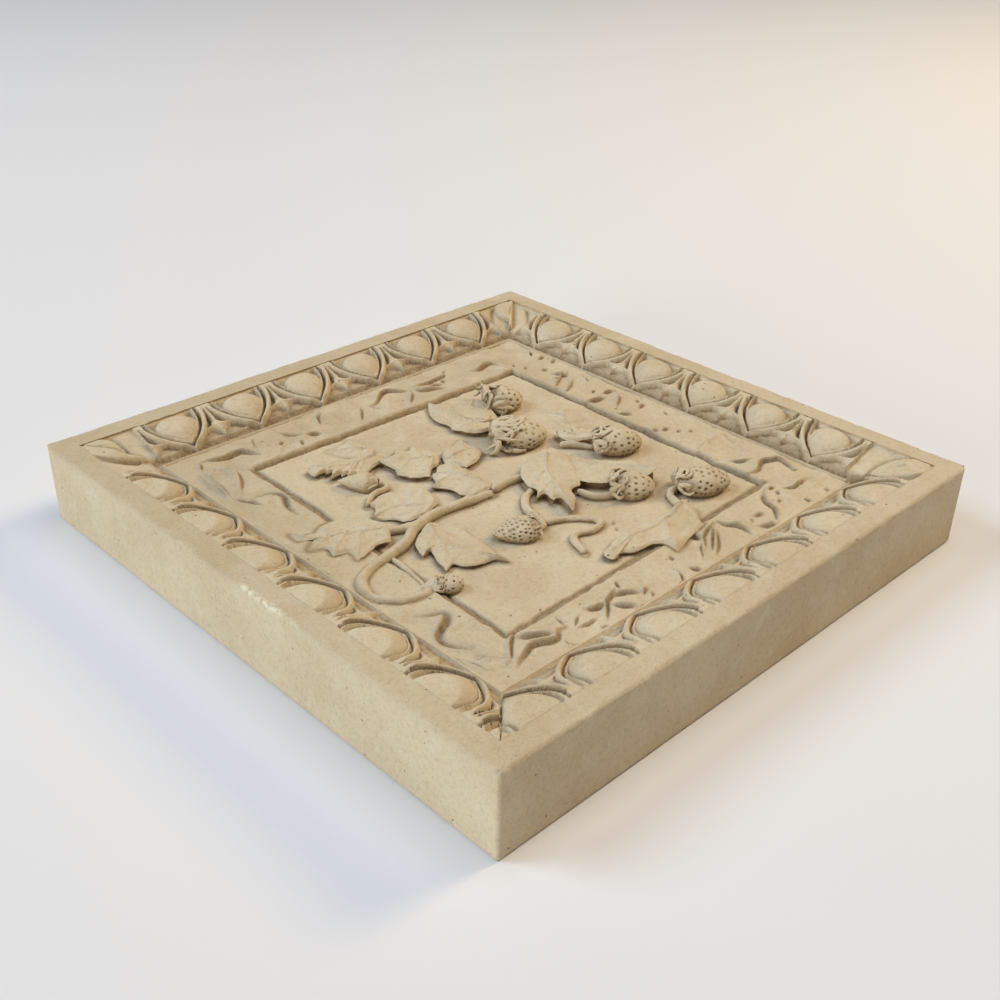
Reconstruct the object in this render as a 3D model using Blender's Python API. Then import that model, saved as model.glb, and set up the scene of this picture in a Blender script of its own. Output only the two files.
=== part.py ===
"""Relief wall tile: a square slab cast in one piece, with a plain rim, an egg-and-dart moulding that
slopes down to a sunk field, a square panel sunk a little further, and a fruiting strawberry plant in
high relief across the panel. Low vine leaves and tendrils fill the band between panel and moulding.

The tile lies face up. The origin is the centre of the flat back, X and Y run along the sides.
Plan places of the carving are given on a grid of about 2 mm, counted from the tile's middle.
"""
import math

import bmesh
import bpy
from mathutils import Vector

# Slab
SIDE = 0.200
THICKNESS = 0.0261
CORNER_RADIUS = 0.0012
ARRIS = 0.0005

# Stepped recess, from the rim inwards
RIM_WIDTH = 0.0074
QUIRK_DEPTH = 0.0010
MOULDING_WIDTH = 0.0182
COVE_WIDTH = 0.0026
COVE_DROP = 0.0014
FILLET_WIDTH = 0.0013
FILLET_RISE = 0.0005
FIELD_DEPTH = 0.0068
BAND_WIDTH = 0.0186
PANEL_DEPTH = 0.0012
PANEL_BEVEL = 0.0009

# How far each corner of the hand-cut panel lies off a true square, from the +X +Y corner round
PANEL_CORNER_SHIFTS = ((0.0010, -0.0014), (0.0012, 0.0004), (-0.0015, -0.0030), (-0.0002, -0.0002))

# Egg-and-dart
EGG_LENGTH = 0.0126
EGG_WIDTH = 0.0128
EGG_RISE = 0.0026
EGG_TAPER = 0.20
RIM_GAP = 0.0010
SHELL_LENGTH = 0.0152
SHELL_SPREAD = 0.0210
SHELL_WIDTH = 0.0021
SHELL_RISE = 0.0012
DART_LENGTH = 0.0086
DART_RISE = 0.0012
CORNER_LEAF_LENGTH = 0.0210
CORNER_LEAF_WIDTH = 0.0105
CORNER_LEAF_RISE = 0.0027
CORNER_LEAF_TAPER = 0.10

# The carving is drawn on a grid on which the level field reaches this far from the middle
FIELD_REACH = 37.2

# The moulding was carved by hand, so each side has its own run of eggs: how many, their pitch, and how
# far the run's middle lies from the side's middle, on the grid. Sides go round from the one at -Y.
EGG_RUNS = ((7, 12.15, -3.5), (6, 12.15, 1.0), (6, 12.4, 0.0), (6, 12.55, 3.6))

# Corners that hold a leaf on the mitre; at the first corner an egg runs up to the mitre instead
LEAF_CORNERS = (1, 2, 3)

# Plant, heights above the panel floor
LEAF_RISE = 0.0022
LEAF_VEIN_RISE = 0.0009
STEM_WIDTH = 0.0034
STEM_RISE = 0.0030
TENDRIL_WIDTH = 0.0024
TENDRIL_RISE = 0.0018
SEPAL_WIDTH = 0.0022
VINE_WIDTH = 0.0017
VINE_RISE = 0.0007
VINE_LEAF_RISE = 0.0006

# Fruit: how flat its round body is against its height, its taper, and where its calyx sits
BERRY_ROUND = 0.62
BERRY_TAPER = 0.18
CALYX_PLACE = 0.86

# A wider gap than this between two leaf tips is the stalk's side, where the edge runs close by the root
STALK_GAP = math.radians(135)
STALK_REACH = 0.22

# How far relief is rooted in the slab, and how far a cutter stands clear of it
ROOT = 0.0016
CLEAR = 0.004

STONE_COLOUR = (0.58, 0.48, 0.34, 1.0)
STONE_ROUGHNESS = 0.9

RIM_HALF = SIDE / 2 - RIM_WIDTH
FOOT_HALF = RIM_HALF - MOULDING_WIDTH
PANEL_HALF = FOOT_HALF - BAND_WIDTH
GRID = FOOT_HALF / FIELD_REACH
FIELD_Z = THICKNESS - FIELD_DEPTH
PANEL_Z = FIELD_Z - PANEL_DEPTH

# The moulding's ground is one straight slope from the quirk to the cove
SLOPE_RUN = MOULDING_WIDTH - COVE_WIDTH - FILLET_WIDTH
SLOPE_DROP = FIELD_DEPTH - QUIRK_DEPTH - COVE_DROP
SLOPE_LENGTH = math.hypot(SLOPE_RUN, SLOPE_DROP)
SLOPE_ANGLE = math.atan2(SLOPE_DROP, SLOPE_RUN)

# Leaves: place of the vein root, tips counter-clockwise from the stalk, notch depth as the share of
# the tips' reach that is left between them, and lift above the common leaf height in millimetres
LEAVES = {
    "left": ((-25.2, -0.1), ((-23.8, 4.4), (-29.2, 7.0), (-35.8, 8.0), (-36.8, 2.2), (-35.3, -1.4),
                             (-33.0, -4.2), (-28.9, -4.4), (-25.2, -2.8)), 0.84, 0.3),
    "lower_left": ((-20.4, -5.2), ((-22.6, -4.0), (-25.8, -8.8), (-26.0, -14.0), (-17.4, -18.2),
                                   (-16.4, -9.4), (-17.2, -4.6)), 0.80, 0.0),
    "above_stem": ((-18.2, -0.6), ((-14.0, 0.6), (-12.6, 5.6), (-15.6, 6.6), (-20.2, 6.0),
                                   (-24.4, 3.4), (-21.6, 0.8)), 0.86, 0.0),
    "toothed": ((-12.0, 18.0), ((-11.0, 20.4), (-13.8, 22.6), (-18.0, 21.8), (-22.4, 21.6),
                                (-20.4, 18.2), (-18.8, 15.4), (-15.8, 14.4), (-12.6, 16.0)), 0.88, 0.4),
    "upper_left": ((-11.2, 20.6), ((-9.6, 23.4), (-11.4, 27.6), (-14.8, 26.2), (-16.2, 23.2)), 0.80, -0.6),
    "middle": ((-4.6, 10.6), ((-4.4, 14.2), (-7.4, 16.8), (-11.8, 15.0), (-13.2, 11.0), (-9.8, 6.6),
                              (-6.2, 7.8)), 0.86, 0.5),
    "middle_right": ((-3.4, 9.2), ((-2.8, 4.6), (1.0, 5.8), (2.8, 9.6), (3.6, 14.4), (-1.0, 13.6)),
                     0.82, 0.0),
    "knot": ((-5.2, -0.4), ((-3.0, 3.8), (-4.4, 8.6), (-9.6, 7.2), (-11.2, 3.4), (-10.0, -1.0)),
             0.84, 0.2),
    "upper": ((9.6, 13.2), ((13.6, 18.6), (12.6, 24.0), (9.0, 27.8), (5.6, 25.2), (4.6, 19.4),
                            (6.0, 14.8)), 0.88, 0.2),
    "flat_right": ((17.2, 5.4), ((21.2, 3.8), (24.4, 7.4), (22.8, 12.0), (18.0, 11.6)), 0.86, -1.5),
    "big": ((8.6, 0.6), ((5.4, 2.2), (0.4, -1.4), (-1.4, -5.2), (-0.2, -9.0), (1.4, -13.2),
                         (5.0, -10.4), (8.2, -7.6), (11.4, -3.0)), 0.87, 1.5),
    "over_fruit": ((9.4, 0.2), ((8.2, -7.0), (11.4, -12.2), (17.6, -15.4), (16.4, -7.6), (13.0, -0.6)),
                   0.90, 2.0),
    "lower_right": ((12.6, -23.2), ((4.4, -22.8), (-1.0, -23.4), (-5.2, -25.8), (1.4, -28.2),
                                    (3.6, -32.0), (8.8, -31.8), (12.8, -28.6)), 0.86, 0.5),
}

# Low leaves in the band between panel and moulding
VINE_LEAVES = {
    "vine_leaf_0": ((-30.6, -32.6), ((-33.0, -35.6), (-28.8, -33.8), (-31.4, -30.4), (-34.2, -31.0)), 0.7),
    "vine_leaf_1": ((-6.0, -36.0), ((-2.2, -35.6), (-3.4, -31.6), (-8.0, -31.0), (-9.4, -34.6)), 0.84),
    "vine_leaf_2": ((7.6, -34.4), ((10.2, -35.6), (9.6, -32.4), (5.6, -35.4)), 0.6),
    "vine_leaf_3": ((31.8, -31.6), ((33.4, -29.6), (29.2, -26.6), (27.4, -29.8), (30.0, -32.8)), 0.84),
    "vine_leaf_4": ((29.6, -20.6), ((34.0, -16.4), (29.4, -13.4), (28.8, -17.8)), 0.6),
    "vine_leaf_5": ((33.6, 12.6), ((35.2, 17.0), (32.2, 20.2), (30.2, 15.4)), 0.8),
    "vine_leaf_6": ((33.8, 24.6), ((35.6, 21.4), (36.0, 26.6), (31.2, 27.2)), 0.7),
    "vine_leaf_7": ((24.0, 35.0), ((20.4, 32.4), (25.4, 30.4), (28.4, 34.2)), 0.8),
    "vine_leaf_8": ((12.4, 34.8), ((11.4, 30.8), (15.6, 31.4), (17.0, 34.6)), 0.7),
    "vine_leaf_9": ((7.2, 33.2), ((5.0, 35.6), (-0.6, 32.4), (4.2, 30.4), (8.8, 31.0)), 0.88),
    "vine_leaf_10": ((-32.4, 24.6), ((-30.2, 25.4), (-31.6, 29.4), (-33.8, 27.6)), 0.8),
}

# Strawberries, on the grid: centre, heading in degrees, half length, half width, height above the
# panel floor, and the number of sepals
BERRIES = {
    "top": ((17.2, 18.6), -25, 2.9, 2.9, 3.6, 6),
    "largest": ((10.2, 7.1), -35, 4.3, 3.8, 3.7, 7),
    "right": ((20.0, -5.3), -37, 3.8, 2.8, 3.6, 5),
    "covered": ((10.9, -16.0), -45, 3.2, 3.0, 3.6, 5),
    "lower_right": ((19.8, -22.7), -31, 4.3, 2.9, 3.65, 5),
    "small": ((-11.0, -13.1), 155, 3.4, 2.4, 2.4, 0),
    "smallest": ((-27.2, -16.4), -36, 2.2, 2.0, 2.3, 5),
    "bud": ((-18.7, 13.2), 132, 3.1, 1.7, 2.0, 0),
}

STEMS = {
    "main": ((-28.8, -15.6), (-31.8, -16.0), (-34.9, -14.5), (-36.3, -11.8), (-35.4, -8.6), (-32.2, -6.5),
             (-27.8, -5.6), (-24.2, -4.6), (-21.2, -2.8), (-17.2, -1.4), (-13.0, -1.4), (-9.0, -1.9),
             (-5.2, -2.3), (-1.8, -1.4), (2.0, -1.9)),
    "left_branch": ((-24.8, -0.3), (-22.0, -1.2), (-18.6, -1.8)),
    "loop_branch": ((-28.2, -6.0), (-28.4, -9.0), (-28.9, -12.6)),
    "bud_stalk": ((-18.8, 10.6), (-20.2, 8.0), (-21.6, 5.6)),
    "fruit_stalk": ((0.6, -5.6), (-2.6, -6.8), (-4.9, -9.4), (-5.4, -12.2), (-6.2, -14.2), (-8.6, -14.2)),
    "right_stalk": ((13.4, 1.6), (15.0, 0.0), (17.2, -3.0)),
    "lower_stalk": ((12.4, -23.6), (14.0, -20.8), (16.6, -20.0)),
    "covered_stalk": ((4.6, -10.4), (5.2, -13.4), (7.4, -14.8), (9.8, -15.0)),
}
TENDRILS = {
    "curl": ((-5.6, -13.6), (-2.4, -15.2), (0.2, -17.6), (0.4, -19.2), (-1.8, -19.9), (-4.4, -19.0),
             (-6.0, -19.9), (-7.2, -23.2)),
}
VINES = (
    ((-34.8, -18.9), (-32.5, -20.2), (-32.2, -22.8), (-35.4, -24.2), (-36.0, -26.4), (-34.1, -29.1)),
    ((-33.0, 20.2), (-30.6, 19.6), (-29.4, 17.4), (-30.8, 14.6), (-31.4, 11.6)),
    ((-31.6, 34.6), (-27.6, 34.8), (-25.6, 34.0), (-24.2, 30.6)),
    ((-34.2, 30.0), (-35.2, 25.4), (-34.8, 21.6), (-33.2, 18.4)),
    ((-27.6, -31.2), (-25.6, -33.2), (-23.0, -34.0), (-19.6, -32.6), (-15.8, -33.6), (-12.0, -32.4)),
    ((13.2, -30.6), (15.2, -33.4), (14.0, -36.0)),
    ((24.0, -31.2), (22.8, -34.4), (19.8, -36.2), (17.0, -35.8)),
    ((27.9, -25.4), (31.2, -23.4), (34.4, -24.2), (35.6, -27.0), (34.8, -30.0)),
    ((28.8, 9.2), (30.8, 7.8), (33.2, 9.4), (35.0, 8.6)),
    ((30.0, -5.8), (31.6, -8.2), (31.2, -11.4)),
    ((-18.0, 35.4), (-15.8, 32.8), (-12.6, 31.6), (-9.6, 34.8)),
)


def clear_scene():
    """Remove every object of the scene."""
    for old in list(bpy.data.objects):
        bpy.data.objects.remove(old, do_unlink=True)


def plan(place):
    """Turn a place on the grid into metres."""
    return Vector((place[0] * GRID, place[1] * GRID, 0.0))


def new_object(name, points, faces, collection):
    """Make a closed mesh from points and faces, with its faces turned outwards."""
    mesh = bpy.data.meshes.new(name)
    bm = bmesh.new()
    corners = [bm.verts.new(point) for point in points]
    for face in faces:
        bm.faces.new([corners[i] for i in face])
    bmesh.ops.recalc_face_normals(bm, faces=bm.faces)
    bm.to_mesh(mesh)
    bm.free()
    item = bpy.data.objects.new(name, mesh)
    collection.objects.link(item)
    return item


def rings_to_solid(name, rings, collection):
    """Skin rings with equal numbers of points one after another and close both ends."""
    count = len(rings[0])
    points = [point for ring in rings for point in ring]
    faces = []
    for row in range(len(rings) - 1):
        for k in range(count):
            after = (k + 1) % count
            low = row * count
            faces.append((low + k, low + after, low + count + after, low + count + k))
    faces.append(tuple(range(count)))
    faces.append(tuple(range(len(points) - count, len(points))))
    return new_object(name, points, faces, collection)


def smooth_path(knots, spacing):
    """Catmull-Rom curve through the knots, read off at roughly equal steps."""
    ends = [2 * knots[0] - knots[1]] + list(knots) + [2 * knots[-1] - knots[-2]]
    path = []
    for a, b, c, d in zip(ends, ends[1:], ends[2:], ends[3:]):
        steps = max(1, round((c - b).length / spacing))
        for i in range(steps):
            t = i / steps
            path.append(0.5 * (2 * b + (c - a) * t + (2 * a - 5 * b + 4 * c - d) * t ** 2
                               + (3 * b - a - 3 * c + d) * t ** 3))
    path.append(knots[-1])
    return path


def ridge(name, path, ups, widths, rises, collection, flat=0.3):
    """Carry a low ridge along a path: two rooted feet and a crown, sharp where flat is nothing."""
    rings = []
    for i, point in enumerate(path):
        along = (path[min(i + 1, len(path) - 1)] - path[max(i - 1, 0)]).normalized()
        side = along.cross(ups[i]).normalized()
        foot = side * widths[i] / 2
        crown = point + ups[i] * rises[i]
        top = [crown - foot * flat, crown + foot * flat] if flat else [crown]
        rings.append([point - foot - ups[i] * ROOT, *top, point + foot - ups[i] * ROOT])
    return rings_to_solid(name, rings, collection)


def ground_ridge(name, knots, width, rise, ground, collection, spacing, flat=0.3):
    """A stem or tendril on level ground, thinner towards both ends."""
    path = smooth_path([plan(knot) + Vector((0, 0, ground)) for knot in knots], spacing)
    last = len(path) - 1
    swell = [0.65 + 0.35 * math.sin(math.pi * i / last) ** 0.5 for i in range(len(path))]
    up = [Vector((0, 0, 1))] * len(path)
    return ridge(name, path, up, [width * s for s in swell], [rise * s for s in swell], collection, flat)


def egg_shape(name, centre, axes, halves, taper, collection, around=10, along=5):
    """Ellipsoid whose poles lie on its first axis, narrower towards that axis's far end."""
    points = [centre - axes[0] * halves[0]]
    for i in range(1, along):
        polar = math.pi * i / along
        reach = -math.cos(polar)
        girth = math.sin(polar) * (1 - taper * reach)
        for k in range(around):
            turn = 2 * math.pi * k / around
            points.append(centre + axes[0] * halves[0] * reach
                          + axes[1] * halves[1] * girth * math.cos(turn)
                          + axes[2] * halves[2] * girth * math.sin(turn))
    points.append(centre + axes[0] * halves[0])
    faces = []
    for k in range(around):
        after = (k + 1) % around
        faces.append((0, 1 + after, 1 + k))
        for i in range(along - 2):
            low = 1 + i * around
            faces.append((low + k, low + after, low + around + after, low + around + k))
        low = 1 + (along - 2) * around
        faces.append((low + k, low + after, len(points) - 1))
    return new_object(name, points, faces, collection)


def slab(collection):
    """The plain square block with rounded corners and eased front arrises."""
    bm = bmesh.new()
    bmesh.ops.create_cube(bm, size=1.0)
    bmesh.ops.scale(bm, vec=(SIDE, SIDE, THICKNESS), verts=bm.verts)
    bmesh.ops.translate(bm, vec=(0, 0, THICKNESS / 2), verts=bm.verts)
    upright = [e for e in bm.edges if abs(e.verts[0].co.z - e.verts[1].co.z) > THICKNESS / 2]
    bmesh.ops.bevel(bm, geom=upright, offset=CORNER_RADIUS, segments=3, profile=0.5, affect="EDGES")
    front = [e for e in bm.edges if min(v.co.z for v in e.verts) > THICKNESS / 2]
    bmesh.ops.bevel(bm, geom=front, offset=ARRIS, segments=1, profile=0.5, affect="EDGES")
    mesh = bpy.data.meshes.new("relief_tile")
    bm.to_mesh(mesh)
    bm.free()
    item = bpy.data.objects.new("relief_tile", mesh)
    collection.objects.link(item)
    return item


def recess(collection):
    """Cutter of nested squares: quirk, slope, cove, fillet, field and sunk panel."""
    cove_half = RIM_HALF - SLOPE_RUN
    fillet_half = cove_half - COVE_WIDTH
    field_half = fillet_half - FILLET_WIDTH
    slope_foot = THICKNESS - QUIRK_DEPTH - SLOPE_DROP
    steps = (
        (RIM_HALF, THICKNESS + CLEAR),
        (RIM_HALF, THICKNESS - QUIRK_DEPTH),
        (cove_half, slope_foot),
        (cove_half - COVE_WIDTH * 0.5, FIELD_Z + COVE_DROP * 0.3),
        (fillet_half, FIELD_Z),
        (fillet_half - FILLET_WIDTH * 0.3, FIELD_Z + FILLET_RISE),
        (fillet_half - FILLET_WIDTH * 0.7, FIELD_Z + FILLET_RISE),
        (field_half, FIELD_Z),
    )
    corners = ((1, 1), (-1, 1), (-1, -1), (1, -1))
    rings = [[Vector((half * x, half * y, z)) for x, y in corners] for half, z in steps]
    for half, z in ((PANEL_HALF + PANEL_BEVEL, FIELD_Z), (PANEL_HALF, PANEL_Z)):
        rings.append([Vector((half * x + dx, half * y + dy, z))
                      for (x, y), (dx, dy) in zip(corners, PANEL_CORNER_SHIFTS)])
    return rings_to_solid("recess", rings, collection)


def slope_frame(turn):
    """Axes of one side's slope: along the side, down the slope and out of it."""
    c, s = math.cos(turn), math.sin(turn)
    along = Vector((c, s, 0))
    inward = Vector((-s, c, 0))
    down = inward * math.cos(SLOPE_ANGLE) - Vector((0, 0, math.sin(SLOPE_ANGLE)))
    out = inward * math.sin(SLOPE_ANGLE) + Vector((0, 0, math.cos(SLOPE_ANGLE)))
    origin = -inward * RIM_HALF + Vector((0, 0, THICKNESS - QUIRK_DEPTH))
    return origin, along, down, out


def egg_and_dart(collection):
    """Eggs in their shells with darts between, along the four slopes, and a leaf on the mitres."""
    for side, (count, pitch, shift) in enumerate(EGG_RUNS):
        origin, along, down, out = slope_frame(side * math.pi / 2)
        for k in range(count):
            middle = origin + along * GRID * (shift + (k - (count - 1) / 2) * pitch)
            centre = middle + down * (EGG_LENGTH / 2 + RIM_GAP)
            egg_shape(f"egg_{side}_{k}", centre, (down, along, out),
                      (EGG_LENGTH / 2, EGG_WIDTH / 2, EGG_RISE), EGG_TAPER, collection)
            shell(f"shell_{side}_{k}", middle, along, down, out, collection)
        for k in range(count + 1):
            place = GRID * (shift + (k - count / 2) * pitch)
            if abs(place) < FOOT_HALF + DART_LENGTH / 2:
                dart(f"dart_{side}_{k}", origin + along * place, along, down, out, collection)
    for side in LEAF_CORNERS:
        corner_leaf(f"corner_leaf_{side}", side, collection)


def shell(name, origin, along, down, out, collection, steps=5):
    """Pointed loop round an egg: its half width falls off slowly at first, then fast to the tip."""
    path = []
    for i in range(-steps, steps + 1):
        way = 1 - (abs(i) / steps) ** 1.3
        reach = SHELL_SPREAD / 2 * (1 - way ** 2.6) ** 0.9
        path.append(origin + along * math.copysign(reach, i) + down * (SHELL_LENGTH * way + RIM_GAP))
    count = len(path)
    return ridge(name, path, [out] * count, [SHELL_WIDTH] * count, [SHELL_RISE] * count, collection)


def dart(name, origin, along, down, out, collection):
    """Arrowhead on a tapering stem, raised in the middle, with its tip at the foot of the slope."""
    centre = origin + down * (SLOPE_LENGTH - DART_LENGTH * 0.5)
    half = ((0.04, -0.5), (0.07, 0.0), (0.24, 0.2), (0.09, 0.28))
    outline = list(half) + [(0.0, 0.5)] + [(-x, v) for x, v in reversed(half)]
    rim = [centre + DART_LENGTH * (along * x + down * v) for x, v in outline]
    count = len(rim)
    points = [p - out * ROOT for p in rim] + [p + out * DART_RISE * 0.5 for p in rim]
    points.append(centre + down * (DART_LENGTH * 0.2) + out * DART_RISE)
    faces = [tuple(range(count))]
    for k in range(count):
        after = (k + 1) % count
        faces.append((k, after, count + after, count + k))
        faces.append((count + k, count + after, 2 * count))
    return new_object(name, points, faces, collection)


def corner_leaf(name, side, collection):
    """Long egg lying in the mitre of two slopes, with a sharp crest along the mitre."""
    turn = side * math.pi / 2 + math.pi / 4
    level = Vector((math.cos(turn), math.sin(turn), 0))
    across = Vector((-math.sin(turn), math.cos(turn), 0))
    fall = math.atan2(SLOPE_DROP, SLOPE_RUN * math.sqrt(2))
    down = level * math.cos(fall) - Vector((0, 0, math.sin(fall)))
    out = down.cross(across)
    if out.z < 0:
        out = -out
    start = -level * RIM_HALF * math.sqrt(2) + Vector((0, 0, THICKNESS - QUIRK_DEPTH))
    centre = start + down * (CORNER_LEAF_LENGTH / 2 + RIM_GAP)
    halves = (CORNER_LEAF_LENGTH / 2, CORNER_LEAF_WIDTH / 2, CORNER_LEAF_RISE)
    return egg_shape(name, centre, (down, across, out), halves, CORNER_LEAF_TAPER, collection, around=8)


def lobed_leaf(name, heart, tips, notch, edge_z, vein_z, collection, veined=True):
    """Leaf from its lobe tips: the edge runs tip, notch, tip, and the blade rises along each vein."""
    root = plan(heart)
    reaches = sorted((plan(tip) - root for tip in tips), key=lambda r: math.atan2(r.y, r.x))
    edge = []
    for here, after in zip(reaches, reaches[1:] + reaches[:1]):
        start = math.atan2(here.y, here.x)
        gap = (math.atan2(after.y, after.x) - start) % (2 * math.pi)
        if gap > STALK_GAP:
            depth = STALK_REACH * min(here.length, after.length)
        else:
            depth = notch * (here.length + after.length) / 2
        middle = start + gap / 2
        edge += [here, Vector((math.cos(middle), math.sin(middle), 0)) * depth]
    count = len(edge)
    ring_low = [root + e + Vector((0, 0, PANEL_Z - ROOT)) for e in edge]
    ring_edge = [root + e + Vector((0, 0, edge_z)) for e in edge]
    lifts = [vein_z if k % 2 == 0 else edge_z for k in range(count)]
    ring_mid = [root + e * 0.5 + Vector((0, 0, z)) for e, z in zip(edge, lifts)]
    rings = [ring_low, ring_edge, ring_mid] if veined else [ring_low, ring_edge]
    points = [point for ring in rings for point in ring] + [root + Vector((0, 0, vein_z))]
    faces = [tuple(range(count))]
    for k in range(count):
        after = (k + 1) % count
        for low in range(0, (len(rings) - 1) * count, count):
            faces.append((low + k, low + after, low + count + after, low + count + k))
        inner = (len(rings) - 1) * count
        faces.append((inner + k, inner + after, len(points) - 1))
    return new_object(name, points, faces, collection)


def berry(name, place, heading, half_length, half_width, height, sepals, collection):
    """Strawberry sunk a little in the ground, with sepals that lie back over its shoulder."""
    turn = math.radians(heading)
    ahead = Vector((math.cos(turn), math.sin(turn), 0))
    across = Vector((-math.sin(turn), math.cos(turn), 0))
    up = Vector((0, 0, 1))
    half_height = height * GRID * BERRY_ROUND
    centre = plan(place) + up * (PANEL_Z + height * GRID - half_height)
    halves = (half_length * GRID, half_width * GRID, half_height)
    egg_shape(f"berry_{name}", centre, (ahead, across, up), halves, BERRY_TAPER, collection, around=11)
    calyx = centre - ahead * halves[0] * CALYX_PLACE
    for k in range(sepals):
        lean = math.pi * ((k + 0.5) / sepals - 0.5)
        aside = across * halves[1] * math.sin(lean) + up * halves[2] * math.cos(lean)
        path = [calyx, calyx + aside * 0.75 + ahead * halves[0] * 0.10,
                calyx + aside * 0.97 + ahead * halves[0] * 0.60]
        outward = aside.normalized()
        outs = [outward * 0.3 - ahead, outward - ahead * 0.6, outward - ahead * 0.2]
        ridge(f"sepal_{name}_{k}", path, [o.normalized() for o in outs],
              [SEPAL_WIDTH, SEPAL_WIDTH, SEPAL_WIDTH * 0.4], [SEPAL_WIDTH * 0.35] * 3, collection, 0)


def plant(collection):
    """Stems, leaves, fruit and the low vine work of the band."""
    millimetre = 0.001
    for name, (heart, tips, notch, lift) in LEAVES.items():
        edge_z = PANEL_Z + LEAF_RISE + lift * millimetre
        lobed_leaf(f"leaf_{name}", heart, tips, notch, edge_z, edge_z + LEAF_VEIN_RISE, collection)
    for name, (heart, tips, notch) in VINE_LEAVES.items():
        edge_z = FIELD_Z + VINE_LEAF_RISE * 0.5
        lobed_leaf(name, heart, tips, notch, edge_z, edge_z + VINE_LEAF_RISE, collection, False)
    for name, knots in STEMS.items():
        ground_ridge(f"stem_{name}", knots, STEM_WIDTH, STEM_RISE, PANEL_Z, collection, 0.006)
    for name, knots in TENDRILS.items():
        ground_ridge(f"tendril_{name}", knots, TENDRIL_WIDTH, TENDRIL_RISE, PANEL_Z, collection, 0.004)
    for k, knots in enumerate(VINES):
        ground_ridge(f"vine_{k}", knots, VINE_WIDTH, VINE_RISE, FIELD_Z, collection, 0.008, 0)
    for name, values in BERRIES.items():
        berry(name, *values, collection)


def stone():
    """Matt cream cast stone."""
    material = bpy.data.materials.new("cast_stone")
    material.use_nodes = True
    shader = material.node_tree.nodes["Principled BSDF"]
    shader.inputs["Base Color"].default_value = STONE_COLOUR
    shader.inputs["Roughness"].default_value = STONE_ROUGHNESS
    shader.inputs["Metallic"].default_value = 0.0
    return material


def main():
    clear_scene()
    relief = bpy.data.collections.new("relief")
    bpy.context.scene.collection.children.link(relief)
    tile = slab(bpy.context.scene.collection)
    tile.data.materials.append(stone())
    hollow = recess(bpy.context.scene.collection)
    egg_and_dart(relief)
    plant(relief)

    for tool in [hollow, *relief.objects]:
        tool.hide_render = True
        tool.display_type = "WIRE"

    cut = tile.modifiers.new("recess", "BOOLEAN")
    cut.operation = "DIFFERENCE"
    cut.solver = "EXACT"
    cut.object = hollow
    carve = tile.modifiers.new("carving", "BOOLEAN")
    carve.operation = "UNION"
    carve.solver = "EXACT"
    carve.operand_type = "COLLECTION"
    carve.collection = relief


if __name__ == "__main__":
    main()
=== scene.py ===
"""Relief wall tile in cast stone: carved surface, stone finish, floor, light and camera.

The tile lies face up. X and Y run along its sides and the origin is the centre of its back.
Plan places of the carving are given on the tile's grid, counted from its middle: 1 is a hundredth of
the side.
"""
import math

import bmesh
import bpy
import numpy as np
from bpy.props import FloatProperty, FloatVectorProperty, PointerProperty
from mathutils import Matrix, Vector


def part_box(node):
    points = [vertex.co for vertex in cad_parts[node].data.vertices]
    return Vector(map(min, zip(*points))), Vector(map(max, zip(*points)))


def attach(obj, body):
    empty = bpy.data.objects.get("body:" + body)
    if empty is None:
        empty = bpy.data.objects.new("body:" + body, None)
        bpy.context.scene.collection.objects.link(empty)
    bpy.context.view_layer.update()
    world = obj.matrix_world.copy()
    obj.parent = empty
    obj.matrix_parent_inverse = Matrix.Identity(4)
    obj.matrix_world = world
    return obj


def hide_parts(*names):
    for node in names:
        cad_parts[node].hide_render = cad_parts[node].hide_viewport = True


bl_info = {
    "name": "Relief wall tile",
    "version": (1, 0, 0),
    "blender": (4, 5, 0),
    "location": "3D View > Sidebar > Tile",
    "description": "Makes a cast stone relief tile with an egg-and-dart border and a strawberry plant",
    "category": "Add Mesh",
}

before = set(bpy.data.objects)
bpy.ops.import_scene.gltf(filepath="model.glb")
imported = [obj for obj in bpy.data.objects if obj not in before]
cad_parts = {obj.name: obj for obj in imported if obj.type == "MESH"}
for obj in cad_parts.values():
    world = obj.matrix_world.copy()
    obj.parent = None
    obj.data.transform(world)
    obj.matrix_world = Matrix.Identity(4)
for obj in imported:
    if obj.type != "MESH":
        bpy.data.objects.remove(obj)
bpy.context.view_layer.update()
LOW, HIGH = (np.array(corner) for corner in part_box("relief_tile"))
SIDE = HIGH[0] - LOW[0]
GRID = SIDE / 100
MM = 0.001
STONE = "weathered_stone"

# Points of each piece's grid, along its sides or runs and round them
SLAB_SIDE, SLAB_CORNER = 190, 7
MOULDING_ROWS, MOULDING_COLUMNS = 60, 510
BAND_OUTER_ROWS, BAND_INNER_ROWS, BAND_COLUMNS = 46, 25, 420
PANEL_ROWS = 185
LEAF_HALF, MIDRIB, VEIN_SLANT = 72, 60, 14
STEM_AROUND = 20
BERRY_ALONG, BERRY_AROUND, BERRY_UNDER = 72, 92, 14
SEPAL_ALONG, SEPAL_AROUND = 24, 12


def length(name, words, value):
    """A length property in metres."""
    return FloatProperty(name=name, description=words, default=value, unit="LENGTH", precision=5)


def colour(name, words, value):
    """A linear colour property."""
    return FloatVectorProperty(name=name, description=words, default=value, subtype="COLOR",
                               size=3, min=0.0, max=1.0)


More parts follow.
